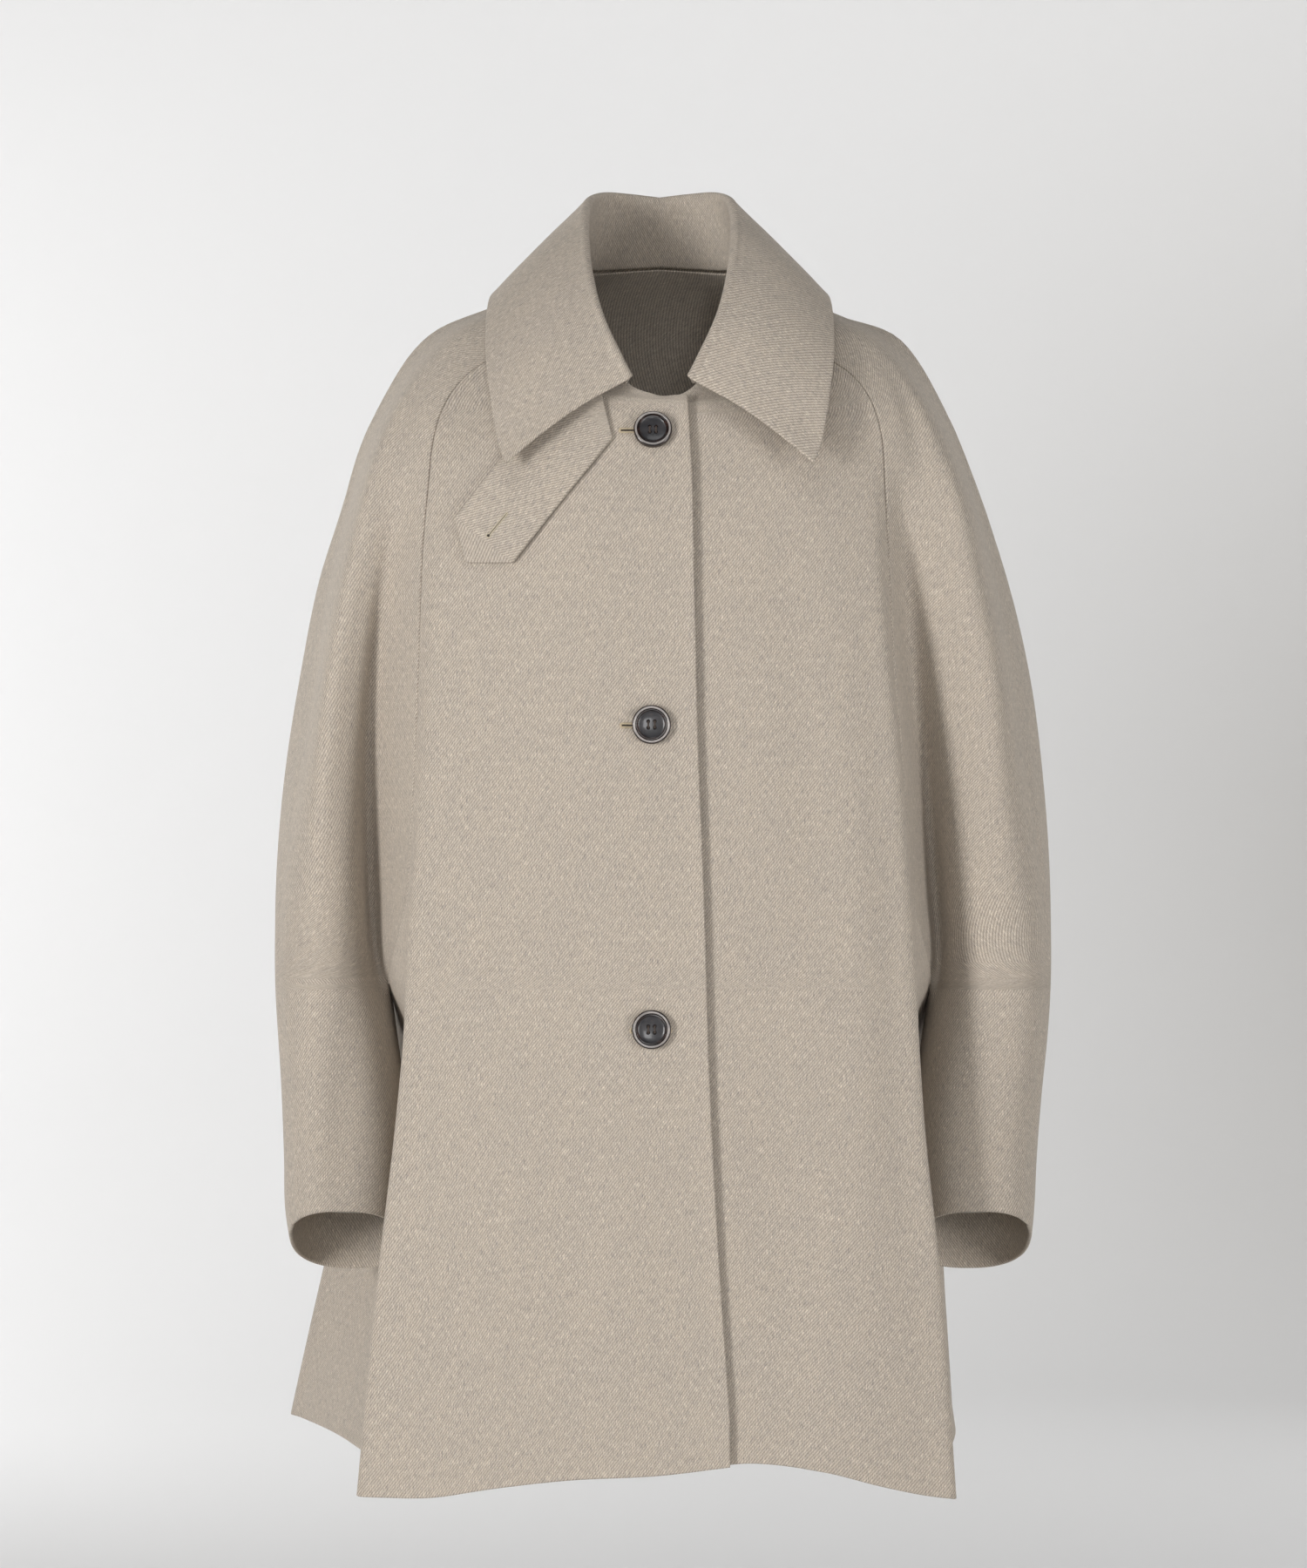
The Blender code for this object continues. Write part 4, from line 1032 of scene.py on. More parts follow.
def bump_line(p, a, b, width, height):
    """A soft ridge, or a trough if height is below 0, from a to b, which fades at both ends."""
    a, b = np.array(a, float), np.array(b, float)
    way = b - a
    length = np.linalg.norm(way)
    t = ((p[..., 0] - a[0]) * way[0] + (p[..., 2] - a[1]) * way[1]) / length ** 2
    off = np.abs((p[..., 0] - a[0]) * way[1] - (p[..., 2] - a[1]) * way[0]) / length
    along = np.clip(t, 0, 1)
    fade = np.sin(np.pi * along) ** 0.7
    fade = np.where((t > 0) & (t < 1), fade, 0)
    return height * fade * np.exp(-((off / width) ** 2))


def relief(name, p):
    """How far the cloth stands off its even form, in mm."""
    out = np.zeros(p.shape[:2])
    for where, a, b, width, height in FOLDS:
        if where != name:
            continue
        out += bump_line(p, a, b, width, height)
    return out


# Folds: piece, start and end (x, z), half width, height
FOLDS = (
    ("front_right", (-96, -150), (-118, -560), 20, -2.0),
    ("front_right", (-60, -380), (-72, -840), 26, -1.8),
    ("front_right", (-138, -240), (-150, -700), 16, 1.6),
    ("front_right", (-28, -560), (-20, -845), 20, 1.2),
    ("front_left", (92, -170), (118, -520), 18, -1.8),
    ("front_left", (78, -420), (96, -850), 26, -2.2),
    ("front_left", (140, -300), (152, -760), 16, 1.8),
    ("back", (-90, -220), (-120, -820), 26, 2.4),
    ("back", (-30, -120), (-38, -760), 22, -2.6),
    ("back", (46, -160), (64, -850), 24, 2.6),
    ("back", (120, -260), (150, -860), 20, -2.4),
    ("back", (-150, -330), (-190, -860), 22, -2.8),
    ("sleeve_front_right", (-232, -150), (-262, -520), 12, 1.4),
    ("sleeve_front_right", (-222, -470), (-240, -690), 16, -2.0),
    ("sleeve_front_left", (238, -170), (262, -540), 12, -1.6),
    ("sleeve_front_left", (226, -440), (246, -690), 14, 1.8),
    ("sleeve_back_right", (-228, -180), (-258, -640), 16, 2.2),
    ("sleeve_back_left", (236, -160), (262, -600), 18, -2.4),
)


# Wool: each noise's stretch along the warp, cycles across, detail, roughness and place
WOOL_NOISE = {
    "wobble": (0.5, 6.0, 1.0, 0.5, 0.0),
    "streak": (0.15, 13.0, 4.0, 0.66, 1.0),
    "fibre": (0.4, 26.0, 3.0, 0.68, 2.0),
    "cloud": (0.3, 0.9, 4.0, 0.6, 3.0),
    "dark": (0.13, 11.0, 4.0, 0.68, 5.0),
    "broad": (0.16, 12.0, 3.0, 0.6, 7.0),
}
# The span of each noise that goes from none to all
WOOL_SPANS = {"streak": (0.50, 0.72), "dark": (0.53, 0.72), "cloud": (0.38, 0.64),
              "fibre": (0.35, 0.66), "broad": (0.36, 0.64)}
WOOL_SHADES = ((0.452, 0.396, 0.336), (0.480, 0.417, 0.348))
WOOL_PALE = (0.76, 0.685, 0.58)
WOOL_DARK = (0.245, 0.225, 0.215)
WOOL_MIX = 0.95             # how fully the pale and the dark fibres cover the base
WOOL_RELIEF = (0.7, 0.8, 0.5)       # relief of the twill lines, the fibres and the streaks
FIBRE_SHADE = (0.44, 0.745)         # brightness: how far it swings, and its lowest value
LINE_SHADE = (0.44, 0.755)
BROAD_SHADE = (0.18, 0.90)
WALE = 1.75                 # pitch of the twill lines, mm
WALE_SLOPE = 0.8
WALE_WOBBLE = 0.055
UV_UNIT = 10.0              # mm of cloth for each unit of the grain map


# Materials
def material(name):
    """A new material, its nodes and its main shader."""
    m = bpy.data.materials.new(name)
    m.use_nodes = True
    return m, m.node_tree, m.node_tree.nodes["Principled BSDF"]


def node(tree, kind, **values):
    made = tree.nodes.new(kind)
    for key, value in values.items():
        setattr(made, key, value)
    return made


def math_node(tree, how, a, b=None, c=None):
    made = node(tree, "ShaderNodeMath", operation=how)
    for socket, value in zip(made.inputs, (a, b, c)):
        if value is None:
            continue
        if isinstance(value, (int, float)):
            socket.default_value = value
        else:
            tree.links.new(value, socket)
    return made.outputs[0]


def times(tree, a, b):
    return math_node(tree, "MULTIPLY", a, b)


def scaled(tree, value, by, plus):
    """The value times by, and plus more."""
    return math_node(tree, "MULTIPLY_ADD", value, by, plus)


def put(made, values):
    for key, value in values.items():
        made.inputs[key].default_value = value


def add_bump(tree, shader, height, strength, distance):
    bump = node(tree, "ShaderNodeBump")
    put(bump, {"Strength": strength, "Distance": distance})
    tree.links.new(height, bump.inputs["Height"])
    tree.links.new(bump.outputs[0], shader.inputs["Normal"])


def blend_colour(tree, share, a, b, how="MIX"):
    made = node(tree, "ShaderNodeMix", data_type="RGBA", blend_type=how)
    for socket, value in zip((made.inputs[0], made.inputs[6], made.inputs[7]), (share, a, b)):
        if isinstance(value, (int, float)):
            socket.default_value = value
        elif isinstance(value, tuple):
            socket.default_value = (*value, 1)
        else:
            tree.links.new(value, socket)
    return made.outputs[2]


def grain_noise(tree, place, stretch, scale, detail=2.0, rough=0.5, w=0.0):
    """Noise on the cloth's own grain, stretched along it. scale: cycles for each unit across."""
    squeeze = node(tree, "ShaderNodeMapping")
    put(squeeze, {"Scale": stretch, "Location": (w * 3.7, w * 1.9, w)})
    tree.links.new(place, squeeze.inputs["Vector"])
    made = node(tree, "ShaderNodeTexNoise", noise_dimensions="3D")
    put(made, {"Scale": scale, "Detail": detail, "Roughness": rough})
    tree.links.new(squeeze.outputs[0], made.inputs["Vector"])
    return made.outputs["Fac"]


def spread(tree, value, low, high):
    made = node(tree, "ShaderNodeMapRange", clamp=True)
    tree.links.new(value, made.inputs["Value"])
    put(made, {"From Min": low, "From Max": high})
    return made.outputs[0]


def wool(name, slope, turn=False):
    """Melange twill: light and dark fibres along the warp, slanted lines and a short nap.

    slope: way the lines slant; turn: warp across the grid instead of along it."""
    m, tree, b = material(name)
    place = node(tree, "ShaderNodeUVMap", uv_map="grain").outputs[0]
    split = node(tree, "ShaderNodeSeparateXYZ")
    tree.links.new(place, split.inputs[0])
    x, y = split.outputs[0], split.outputs[1]
    if turn:
        x, y = y, x
        again = node(tree, "ShaderNodeCombineXYZ")
        tree.links.new(x, again.inputs[0])
        tree.links.new(y, again.inputs[1])
        place = again.outputs[0]
    noise = {key: grain_noise(tree, place, (1, along, 1), *rest)
             for key, (along, *rest) in WOOL_NOISE.items()}
    share = {key: spread(tree, noise[key], *span) for key, span in WOOL_SPANS.items()}

    line = math_node(tree, "ADD", times(tree, x, slope), times(tree, y, WALE_SLOPE))
    line = math_node(tree, "ADD", line, times(tree, noise["wobble"], WALE_WOBBLE))
    turns = 2 * math.pi * UV_UNIT / WALE / math.hypot(slope, WALE_SLOPE)
    wave = scaled(tree, math_node(tree, "SINE", times(tree, line, turns)), 0.5, 0.5)

    base = blend_colour(tree, share["cloud"], *WOOL_SHADES)
    base = blend_colour(tree, times(tree, share["streak"], WOOL_MIX), base, WOOL_PALE)
    base = blend_colour(tree, times(tree, share["dark"], WOOL_MIX), base, WOOL_DARK)
    both = times(tree, scaled(tree, share["fibre"], *FIBRE_SHADE), scaled(tree, wave, *LINE_SHADE))
    both = times(tree, both, scaled(tree, share["broad"], *BROAD_SHADE))
    grey = node(tree, "ShaderNodeCombineColor")
    for k in range(3):
        tree.links.new(both, grey.inputs[k])
    colour = blend_colour(tree, 1.0, base, grey.outputs[0], "MULTIPLY")
    tree.links.new(colour, b.inputs["Base Color"])

    parts = (times(tree, source, high)
             for source, high in zip((wave, noise["fibre"], noise["streak"]), WOOL_RELIEF))
    height = math_node(tree, "ADD", math_node(tree, "ADD", next(parts), next(parts)), next(parts))
    add_bump(tree, b, height, 0.55, 0.00028)
    tree.links.new(scaled(tree, noise["fibre"], 0.12, 0.84), b.inputs["Roughness"])
    put(b, {"Specular IOR Level": 0.22, "Sheen Weight": 0.22, "Sheen Roughness": 0.45,
            "Sheen Tint": (1.0, 0.95, 0.88, 1)})
    return m


def satin(name):
    """Pale lining cloth with a fine sheen along its warp."""
    m, tree, b = material(name)
    uv = node(tree, "ShaderNodeUVMap", uv_map="grain").outputs[0]
    thread = grain_noise(tree, uv, (1, 0.05, 1), 40.0, 2.0, 0.5, 1.0)
    soft = grain_noise(tree, uv, (1, 0.6, 1), 0.9, 2.0, 0.5, 2.0)
    base = blend_colour(tree, soft, (0.60, 0.575, 0.52), (0.72, 0.69, 0.63))
    shine = times(tree, spread(tree, thread, 0.45, 0.7), 0.25)
    base = blend_colour(tree, shine, base, (0.82, 0.80, 0.75))
    tree.links.new(base, b.inputs["Base Color"])
    add_bump(tree, b, thread, 0.35, 0.0001)
    rough = scaled(tree, thread, 0.15, 0.38)
    tree.links.new(rough, b.inputs["Roughness"])
    return m


def horn(name, dark, pale, matt):
    """Very dark brown horn, polished, with faint streaks and fine wear."""
    m, tree, b = material(name)
    place = node(tree, "ShaderNodeTexCoord").outputs["Object"]
    swirl = grain_noise(tree, place, (1, 1, 3), 90.0, 3.0, 0.55, 1.0)
    spots = grain_noise(tree, place, (1, 1, 1), 420.0, 2.0, 0.6, 2.0)
    base = blend_colour(tree, spread(tree, swirl, 0.42, 0.68), dark, pale)
    worn = times(tree, spread(tree, spots, 0.6, 0.8), 0.3)
    base = blend_colour(tree, worn, base, (0.10, 0.05, 0.035))
    tree.links.new(base, b.inputs["Base Color"])
    rough = scaled(tree, spots, 0.08, matt)
    tree.links.new(rough, b.inputs["Roughness"])
    add_bump(tree, b, swirl, 0.02, 0.00012)
    put(b, {"Coat Weight": 0.35, "Coat Roughness": 0.1})
    return m


def thread(name, colour):
    """Twisted sewing thread."""
    m, tree, b = material(name)
    place = node(tree, "ShaderNodeTexCoord").outputs["Object"]
    ply = grain_noise(tree, place, (1, 1, 1), 1500.0, 2.0, 0.6, 1.0)
    base = blend_colour(tree, spread(tree, ply, 0.3, 0.7), tuple(c * 0.62 for c in colour), colour)
    tree.links.new(base, b.inputs["Base Color"])
    add_bump(tree, b, ply, 0.5, 0.00015)
    put(b, {"Roughness": 0.7, "Sheen Weight": 0.2})
    return m


# Linings
def lining_cloth(word, front, back, mat):
    """Ring of lining just inside the sleeve, above the turned-up cuff."""
    (pa, na), (pb, nb) = front, back
    extra = len(EDGE_STOPS) - 1
    base = len(pa) - 1 - CUFF_ROWS - extra
    first, last = (base + round(CUFF_ROWS * LINING_ROWS[k] / 5) for k in (0, 1))
    rows, ways = [], []
    for i in range(first, last + 1):
        rows.append(np.vstack([pa[i][extra + 1:-extra], pb[i][::-1][extra + 1:-extra]]))
        ways.append(np.vstack([na[i][extra + 1:-extra], nb[i][::-1][extra + 1:-extra]]))
    rows, ways = np.array(rows), np.array(ways)
    p = rows - ways * (WALL + LAY)
    n = grid_normals(p, closed=True)
    if (n * ways).sum() < 0:
        n = -n
    return cloth("sleeve_lining_" + word + "_cloth", p, n, mat, thick=LINING_WALL, closed=True)


# Buttons, buttonholes and threads
def lathe(name, profile, seat, mat, sides=SIDES, offset=(0.0, 0.0)):
    """A turned solid on a seat: its centre, and its across, up and outward directions."""
    centre, across, up, out = seat
    bm = bmesh.new()
    rings = []
    for radius, height in profile:
        base = centre + across * offset[0] + up * offset[1] + out * height
        if radius == 0:
            rings.append([bm.verts.new(base * MM)])
            continue
        ring = []
        for k in range(sides):
            a = 2 * math.pi * k / sides
            spoke = across * math.cos(a) + up * math.sin(a)
            ring.append(bm.verts.new((base + spoke * radius) * MM))
        rings.append(ring)
    for low, high in zip(rings, rings[1:]):
        for k in range(sides):
            m = (k + 1) % sides
            if len(low) == 1:
                bm.faces.new((low[0], high[m], high[k]))
            elif len(high) == 1:
                bm.faces.new((low[k], low[m], high[0]))
            else:
                bm.faces.new((low[k], low[m], high[m], high[k]))
    bmesh.ops.recalc_face_normals(bm, faces=bm.faces)
    mesh = bpy.data.meshes.new(name)
    bm.to_mesh(mesh)
    bm.free()
    return add_piece(name, mesh, mat, turn_out=False)


def seat_of(x, z):
    """Seat of a button on the upper front, as in the CAD model."""
    step = BUTTON_D / 2
    at = np.array((x, front_surface(x, z), z))
    up = np.array((0, front_surface(x, z + step) - front_surface(x, z - step), 2 * step))
    across = np.array((2 * step, front_surface(x + step, z) - front_surface(x - step, z), 0))
    up = unit(up)
    across = unit(across)
    out = np.cross(across, up)
    out = unit(out)
    across = np.cross(up, out)
    swell = 0
    for k in range(SEAT_STEPS):
        a = 2 * math.pi * k / SEAT_STEPS
        for reach in (0.5, 1.0):
            p = at + (across * math.cos(a) + up * math.sin(a)) * step * reach
            swell = max(swell, float((np.array((p[0], front_surface(p[0], p[2]), p[2])) - p) @ out))
    return at + out * (swell + LAY + BUTTON_T / 2), across, up, out


def arc(cx, cy, radius, first, last, steps):
    out = []
    for k in range(steps + 1):
        a = math.radians(first + (last - first) * k / steps)
        out.append((cx + radius * math.cos(a), cy + radius * math.sin(a)))
    return out


def make_button(index, x, z, mats, thread_mat):
    """A button with a rounded rim, a step, a dish, four countersunk holes and its stitches.

    mats: its body, its dish with a painted grey reflection, and its rim's crest with a painted
    highlight ring."""
    seat = seat_of(x, z)
    r, half = BUTTON_D / 2, BUTTON_T / 2
    dish = half - BUTTON_DISH
    profile = [(0, -half), (r - 2.2, -half)]
    profile += arc(r - RIM_ROUND, -half + 1.5, RIM_ROUND, -80, 0, 6)
    profile += arc(r - RIM_ROUND, half - RIM_ROUND, RIM_ROUND, 0, 90, 8)
    profile += arc(r - 1.75, half - 1.0, 1.0, 95, 172, 7)
    profile += [(r - inward, half - down) for inward, down in STEP_POINTS]
    profile += [(r - inward, dish + up) for inward, up in DISH_POINTS]
    profile += [(3.2, dish - HOLE_FACE), (0, dish - 0.58)]
    name = "button_%d_horn" % (index + 1)
    ob = lathe(name, profile, seat, mats[0])
    top = dish - HOLE_FACE
    flare = [(0, -9), (1.05, -9), (1.05, top - 0.5), (1.2, top - 0.18), (1.55, top + 0.14),
             (1.6, 9), (0, 9)]
    cutters = []
    for sx in (-1, 1):
        for sz in (-1, 1):
            spot = (sx * HOLE_PITCH / 2, sz * HOLE_PITCH / 2)
            cutters.append(lathe("hole", flare, seat, mats[0], HOLE_STEPS, spot))
    for cutter in cutters:
        cut = ob.modifiers.new("hole", "BOOLEAN")
        cut.operation = "DIFFERENCE"
        cut.solver = "EXACT"
        cut.object = cutter
    graph = bpy.context.evaluated_depsgraph_get()
    mesh = bpy.data.meshes.new_from_object(ob.evaluated_get(graph))
    ob.modifiers.clear()
    ob.data = mesh
    mesh.name = name
    for cutter in cutters:
        bpy.data.objects.remove(cutter, do_unlink=True)
    mesh.polygons.foreach_set("use_smooth", [True] * len(mesh.polygons))
    mesh.set_sharp_from_angle(angle=math.radians(38))
    for mat in mats[1:]:
        mesh.materials.append(mat)
    for face in mesh.polygons:
        away = np.array(face.center) / MM - seat[0]
        high = away @ seat[3]
        wide = np.linalg.norm(away - seat[3] * high)
        # dish faces get a greyer horn as a painted reflection; crest faces get a pale horn as a
        # painted highlight ring
        if high > dish - DISH_REFLECTION_DEPTH and wide < r - DISH_REFLECTION_IN:
            face.material_index = 1
        elif high > half - CREST_HIGHLIGHT_DEPTH and r - CREST_HIGHLIGHT_IN[0] < wide < r - CREST_HIGHLIGHT_IN[1]:
            face.material_index = 2
    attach(ob, "root")
    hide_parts("button_%d" % (index + 1))
    centre, across, up, out = seat
    strands = []
    for sx in (-1, 1):
        for k in range(3):
            dx = sx * HOLE_PITCH / 2 + (k - 1) * STITCH_PITCH
            line = []
            for s in np.linspace(-1, 1, 15):
                dip = STITCH_DIP * max(0.0, abs(s) - STITCH_TURN) / 0.22
                high = top + STITCH_HIGH - dip + 0.12 * (k == 1)
                line.append(centre + across * dx + up * s * STITCH_HALF + out * high)
            strands.append(line)
    tube(name.replace("horn", "stitches"), strands, THREAD_RADIUS, thread_mat)


def tube(name, lines, radius, mat, closed=False, ripple=0.0, pitch=1.0, sides=8):
    """Thin round threads along lines, which swell and thin by ripple at each pitch."""
    verts, faces = [], []
    for line in lines:
        line = np.array(line, float)
        if closed:
            way = np.roll(line, -1, axis=0) - np.roll(line, 1, axis=0)
        else:
            way = np.gradient(line, axis=0)
        way /= np.linalg.norm(way, axis=1)[:, None]
        run = run_of(line)
        first = len(verts)
        for at, w, s in zip(line, way, run):
            side = np.cross(w, (0, 1, 0.02))
            side = unit(side)
            lift = np.cross(w, side)
            r = radius * (1 + ripple * math.sin(2 * math.pi * s / pitch))
            for k in range(sides):
                a = 2 * math.pi * k / sides
                verts.append(tuple((at + (side * math.cos(a) + lift * math.sin(a)) * r) * MM))
        rows = len(line)
        for i in range(rows if closed else rows - 1):
            for k in range(sides):
                m = (k + 1) % sides
                nxt = (i + 1) % rows
                low, high = first + i * sides, first + nxt * sides
                faces.append((low + k, low + m, high + m, high + k))
        if not closed:
            faces.append(tuple(first + k for k in range(sides))[::-1])
            faces.append(tuple(first + (rows - 1) * sides + k for k in range(sides)))
    ob = add_piece(name, mesh_of(name, verts, faces), mat)
    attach(ob, "root")
    return ob


def surface_tree(ob):
    mesh = ob.data
    verts = [v.co.copy() for v in mesh.vertices]
    return BVHTree.FromPolygons(verts, [tuple(p.vertices) for p in mesh.polygons])


def on_surface(tree, x, z, lift):
    """Point on the front of a cloth at a place, lifted off it."""
    hit, normal, _, _ = tree.ray_cast(Vector((x * MM, -0.6, z * MM)), Vector((0, 1, 0)), 2.0)
    if normal.y > 0:
        normal = -normal
    return np.array(hit) / MM + np.array(normal) * lift


def loop_round(a, b, half, eye=0.0, steps=60):
    """Closed outline of a slit from a to b, with a round eye at its end b if asked."""
    a, b = np.array(a, float), np.array(b, float)
    length = np.linalg.norm(b - a)
    way = (b - a) / length
    side = np.array((-way[1], way[0]))
    one = [(0.0, half * 0.2)]
    straight = length - (eye * 1.7 if eye else 0)
    for s in np.linspace(0.03, 1, steps):
        one.append((straight * s, half))
    if eye:
        one += [(length - eye + eye * math.cos(t), eye * math.sin(t))
                for t in np.linspace(math.pi * 0.82, 0, 16)]
    else:
        one += [(length, half * 0.2)]
    other = [(s, -w) for s, w in one[::-1]]
    return [a + way * s + side * w for s, w in one + other]


def slit(name, tree, a, b, half, mat, dark, eye, radius):
    """A worked buttonhole: a dark sheet in the slit as its painted shadow, with a purl of thread
    round it.
    """
    rim = loop_round(a, b, half + radius * 0.6, eye)
    line = [on_surface(tree, x, z, radius * 0.35) for x, z in rim]
    run = np.concatenate([[0], np.cumsum([np.linalg.norm(q - p) for p, q in zip(line, line[1:])])])
    even = np.arange(0, run[-1], 0.16)
    line = points_at(np.array(line), run, even)
    tube(name + "_purl", [line], radius, mat, True, PURL_RIPPLE, PURL_PITCH)
    inner = loop_round(a, b, half, eye and eye * 0.75)
    inner = [on_surface(tree, x, z, 0.12) for x, z in inner]
    count = len(inner) // 2
    verts = [tuple(p * MM) for p in inner]
    verts += [tuple((p + np.array((0, 0.35, 0))) * MM) for p in inner]
    total = len(inner)
    faces = []
    for k in range(count - 1):
        q = (k, k + 1, total - 2 - k, total - 1 - k)
        faces.append(q)
        faces.append(tuple(v + total for v in q[::-1]))
    for k in range(total):
        m = (k + 1) % total
        faces.append((k, m, m + total, k + total))
    mesh = mesh_of(name + "_slit", verts, faces)
    mesh.validate()
    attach(add_piece(name + "_slit", mesh, dark, smooth=False), "root")


# Stage and camera, in metres
WALL_SHADOW_SPOT = ((1.6, 4.95, -0.5), (1.9, 1.9, 2.5))     # painted shadow on the wall, to the right of the coat: place and reach
STAGE_RADIUS = 5.2
STAGE_CURVE = 1.0
STAGE_TOP = 3.8
STAGE_SIDES = 96
FLOOR_Z = -1.35
CAMERA_AT = (-0.0046, -3.5, -0.3575)
SENSOR = 36
LENS = 107.7
WORLD_LIGHT = 0.06
# Lights: name, place, what each points at, size, power and colour
WARM = (1.0, 0.985, 0.97)
WHITE = (1, 1, 1)
LIGHTS = (
    ("key", (-2.6, -2.8, -0.2), (0, 0, -0.55), (0.7, 1.5), 86, WARM),
    ("fill", (2.8, -2.4, -0.6), (0.1, 0, -0.7), (0.8, 1.7), 47, WARM),
    ("front", (0.2, -3.9, -0.1), (0, 0, -0.5), (0.6, 0.6), 14, WHITE),
    ("top", (-0.4, -0.9, 1.9), (0, 0.1, -0.3), (1.4, 0.9), 9, WHITE),
    ("wall_left", (-3.0, 3.4, -0.4), (-1.9, 5.2, -1.0), (1.6, 3.0), 92, (0.98, 0.985, 1.0)),
    ("wall_top", (0.3, 3.2, 2.0), (0.2, 5.2, -1.2), (3.0, 0.8), 38, WHITE),
    ("behind_left", (-2.5, 3.1, 0.7), (0, 0, -0.45), (0.9, 1.3), 30, WHITE),
    ("behind_right", (2.5, 3.1, 0.5), (0, 0, -0.45), (0.9, 1.3), 20, WHITE),
)


def stage():
    """Pale wall and floor with a soft corner between them, and a shadow painted on the wall."""
    mat, tree, b = material("pale_paper")
    place = node(tree, "ShaderNodeTexCoord").outputs["Object"]
    soft = grain_noise(tree, place, (1, 1, 1), 0.7, 1.0, 0.4)
    base = blend_colour(tree, soft, (0.66, 0.66, 0.66), (0.69, 0.686, 0.68))
    near = node(tree, "ShaderNodeMapping", vector_type="TEXTURE")
    put(near, {"Location": WALL_SHADOW_SPOT[0], "Scale": WALL_SHADOW_SPOT[1]})
    tree.links.new(place, near.inputs["Vector"])
    ball = node(tree, "ShaderNodeTexGradient", gradient_type="QUADRATIC_SPHERE")
    tree.links.new(near.outputs[0], ball.inputs["Vector"])
    # painted shadow: the wall's colour darkens in a soft patch to the right of the coat
    painted_shadow = times(tree, ball.outputs["Fac"], 0.62)
    base = blend_colour(tree, painted_shadow, base, (0.30, 0.285, 0.26))
    tree.links.new(base, b.inputs["Base Color"])
    put(b, {"Roughness": 0.95, "Specular IOR Level": 0.1})
    flat = STAGE_RADIUS - STAGE_CURVE
    line = [(flat * k / 4, FLOOR_Z) for k in range(5)]
    for k in range(1, 11):
        a = math.radians(9 * k)
        rise = STAGE_CURVE * (1 - math.cos(a))
        line.append((flat + STAGE_CURVE * math.sin(a), FLOOR_Z + rise))
    line.append((STAGE_RADIUS, STAGE_TOP))
    verts, faces = [], []
    for r, z in line:
        for k in range(STAGE_SIDES):
            a = 2 * math.pi * k / STAGE_SIDES
            verts.append((r * math.sin(a), r * math.cos(a), z))
    for i in range(len(line) - 1):
        for k in range(STAGE_SIDES):
            m = (k + 1) % STAGE_SIDES
            first, above = i * STAGE_SIDES, (i + 1) * STAGE_SIDES
            faces.append((first + k, above + k, above + m, first + m))
    ob = add_piece("backdrop", mesh_of("backdrop", verts, faces), mat, turn_out=False)


def area_light(name, at, target, size, power, colour):
    data = bpy.data.lights.new(name, "AREA")
    data.shape = "RECTANGLE"
    data.size, data.size_y = size
    data.energy = power
    data.color = colour
    ob = add_object(name, data)
    ob.location = at
    ob.rotation_euler = (Vector(target) - Vector(at)).to_track_quat("-Z", "Y").to_euler()


def camera():
    data = bpy.data.cameras.new("camera")
    data.sensor_fit = "VERTICAL"
    data.sensor_height = SENSOR
    data.lens = LENS
    ob = add_object("camera", data)
    ob.location = CAMERA_AT
    ob.rotation_euler = (math.radians(90), 0, 0)
    bpy.context.scene.camera = ob


def lights():
    view = bpy.context.scene.view_settings
    view.view_transform = "Standard"
    view.look = "None"
    world = bpy.data.worlds.new("studio")
    world.use_nodes = True
    put(world.node_tree.nodes["Background"], {"Color": (1.0, 1.0, 1.0, 1), "Strength": WORLD_LIGHT})
    bpy.context.scene.world = world
    for light in LIGHTS:
        area_light(*light)


def declare(node_name):
    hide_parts(node_name)


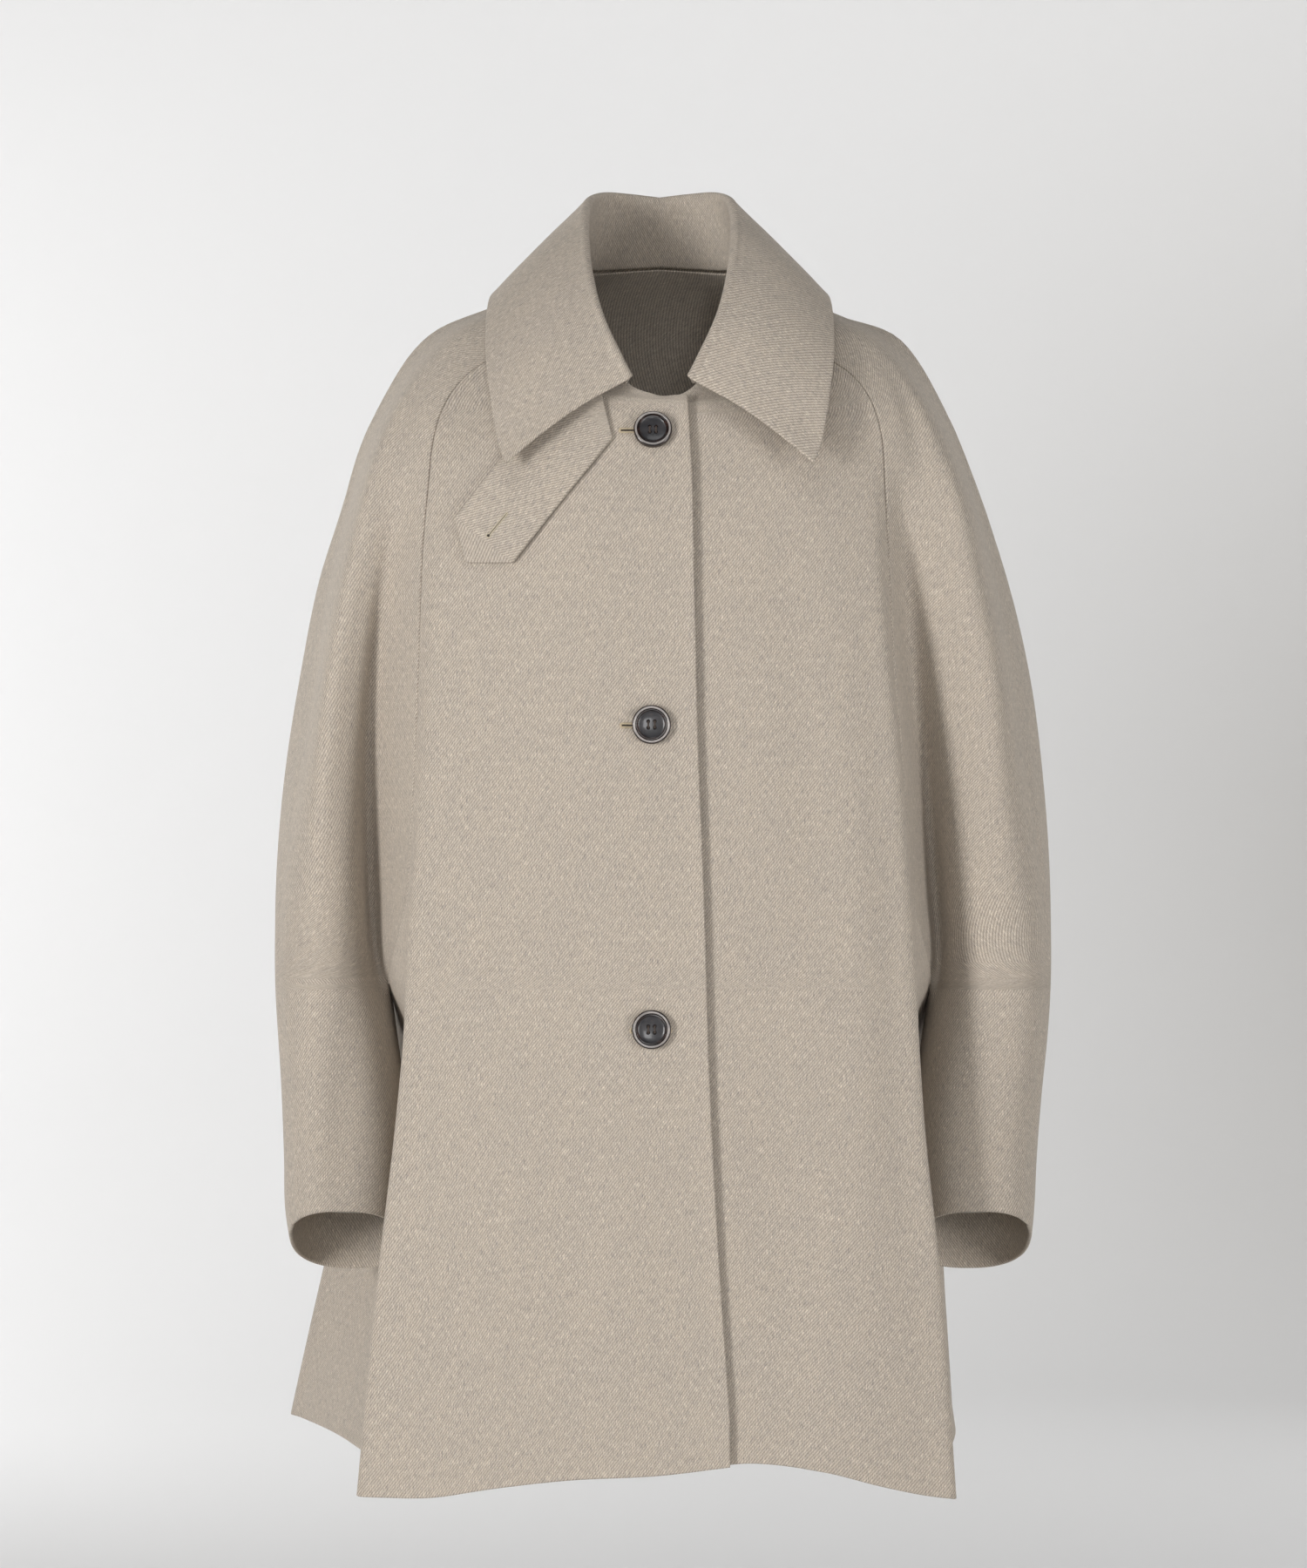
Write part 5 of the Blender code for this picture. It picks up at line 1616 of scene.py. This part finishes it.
def build():
    rising = wool("wool_rising", 1.0)
    falling = wool("wool_falling", -1.0)
    wool_collar = wool("wool_collar", 1.0, turn=True)
    wool_tab = wool("wool_tab", -1.0)
    lining = satin("lining")
    horns = (
        horn("dark_horn", (0.010, 0.007, 0.007), (0.034, 0.017, 0.013), 0.13),
        # greyer horn for the dish: a painted reflection
        horn("dark_horn_dish", (0.020, 0.020, 0.023), (0.034, 0.032, 0.035), 0.33),
        # pale horn for the rim's crest: a painted highlight ring
        horn("dark_horn_crest", (0.26, 0.24, 0.23), (0.36, 0.33, 0.31), 0.12),
    )
    beige = thread("beige_thread", (0.68, 0.57, 0.40))
    cream = thread("cream_thread", (0.66, 0.58, 0.44))
    brown = thread("brown_thread", (0.06, 0.04, 0.03))
    # painted shadow: a dark sheet that stands for the shade inside the buttonhole slits
    gap = thread("slit_shadow", (0.035, 0.026, 0.018))

    panels = make_panels()
    made = {}
    for name, (p, n) in panels.items():
        start = "turned" if name.startswith("front") else "seam"
        mat = falling if name in TURNED else rising
        made[name] = cloth(name + "_cloth", p, n, mat, (start, "seam", "seam", "turned"))
    for name, ob in made.items():
        declare(name)
    p, n = panel_of(collar_grid())
    collar = cloth("collar_cloth", p, n, wool_collar, ("seam", "turned", "turned", "turned"))
    declare("collar")
    p, n = panel_of(tab_grid(), -1)
    tab = cloth("chin_tab_cloth", p, n, wool_tab, ("turned",) * 4)
    declare("chin_tab")
    for word in ("right", "left"):
        halves = (panels["sleeve_front_" + word], panels["sleeve_back_" + word])
        ring = lining_cloth(word, *halves, lining)
        declare("sleeve_lining_" + word)

    for k, (x, z) in enumerate(BUTTONS):
        make_button(k, x, z, horns, brown)
    tree = surface_tree(made["front_right"])
    for k, (x0, x1, z) in enumerate(BUTTONHOLES):
        slit("buttonhole_%d" % (k + 1), tree, (x1, z), (x0, z), 0.85, beige, gap, 0.0, 0.72)
    slit("tab_keyhole", surface_tree(tab), *KEYHOLE, 0.35, cream, gap, 1.5, 0.42)
    stage()
    camera()
    lights()


build()
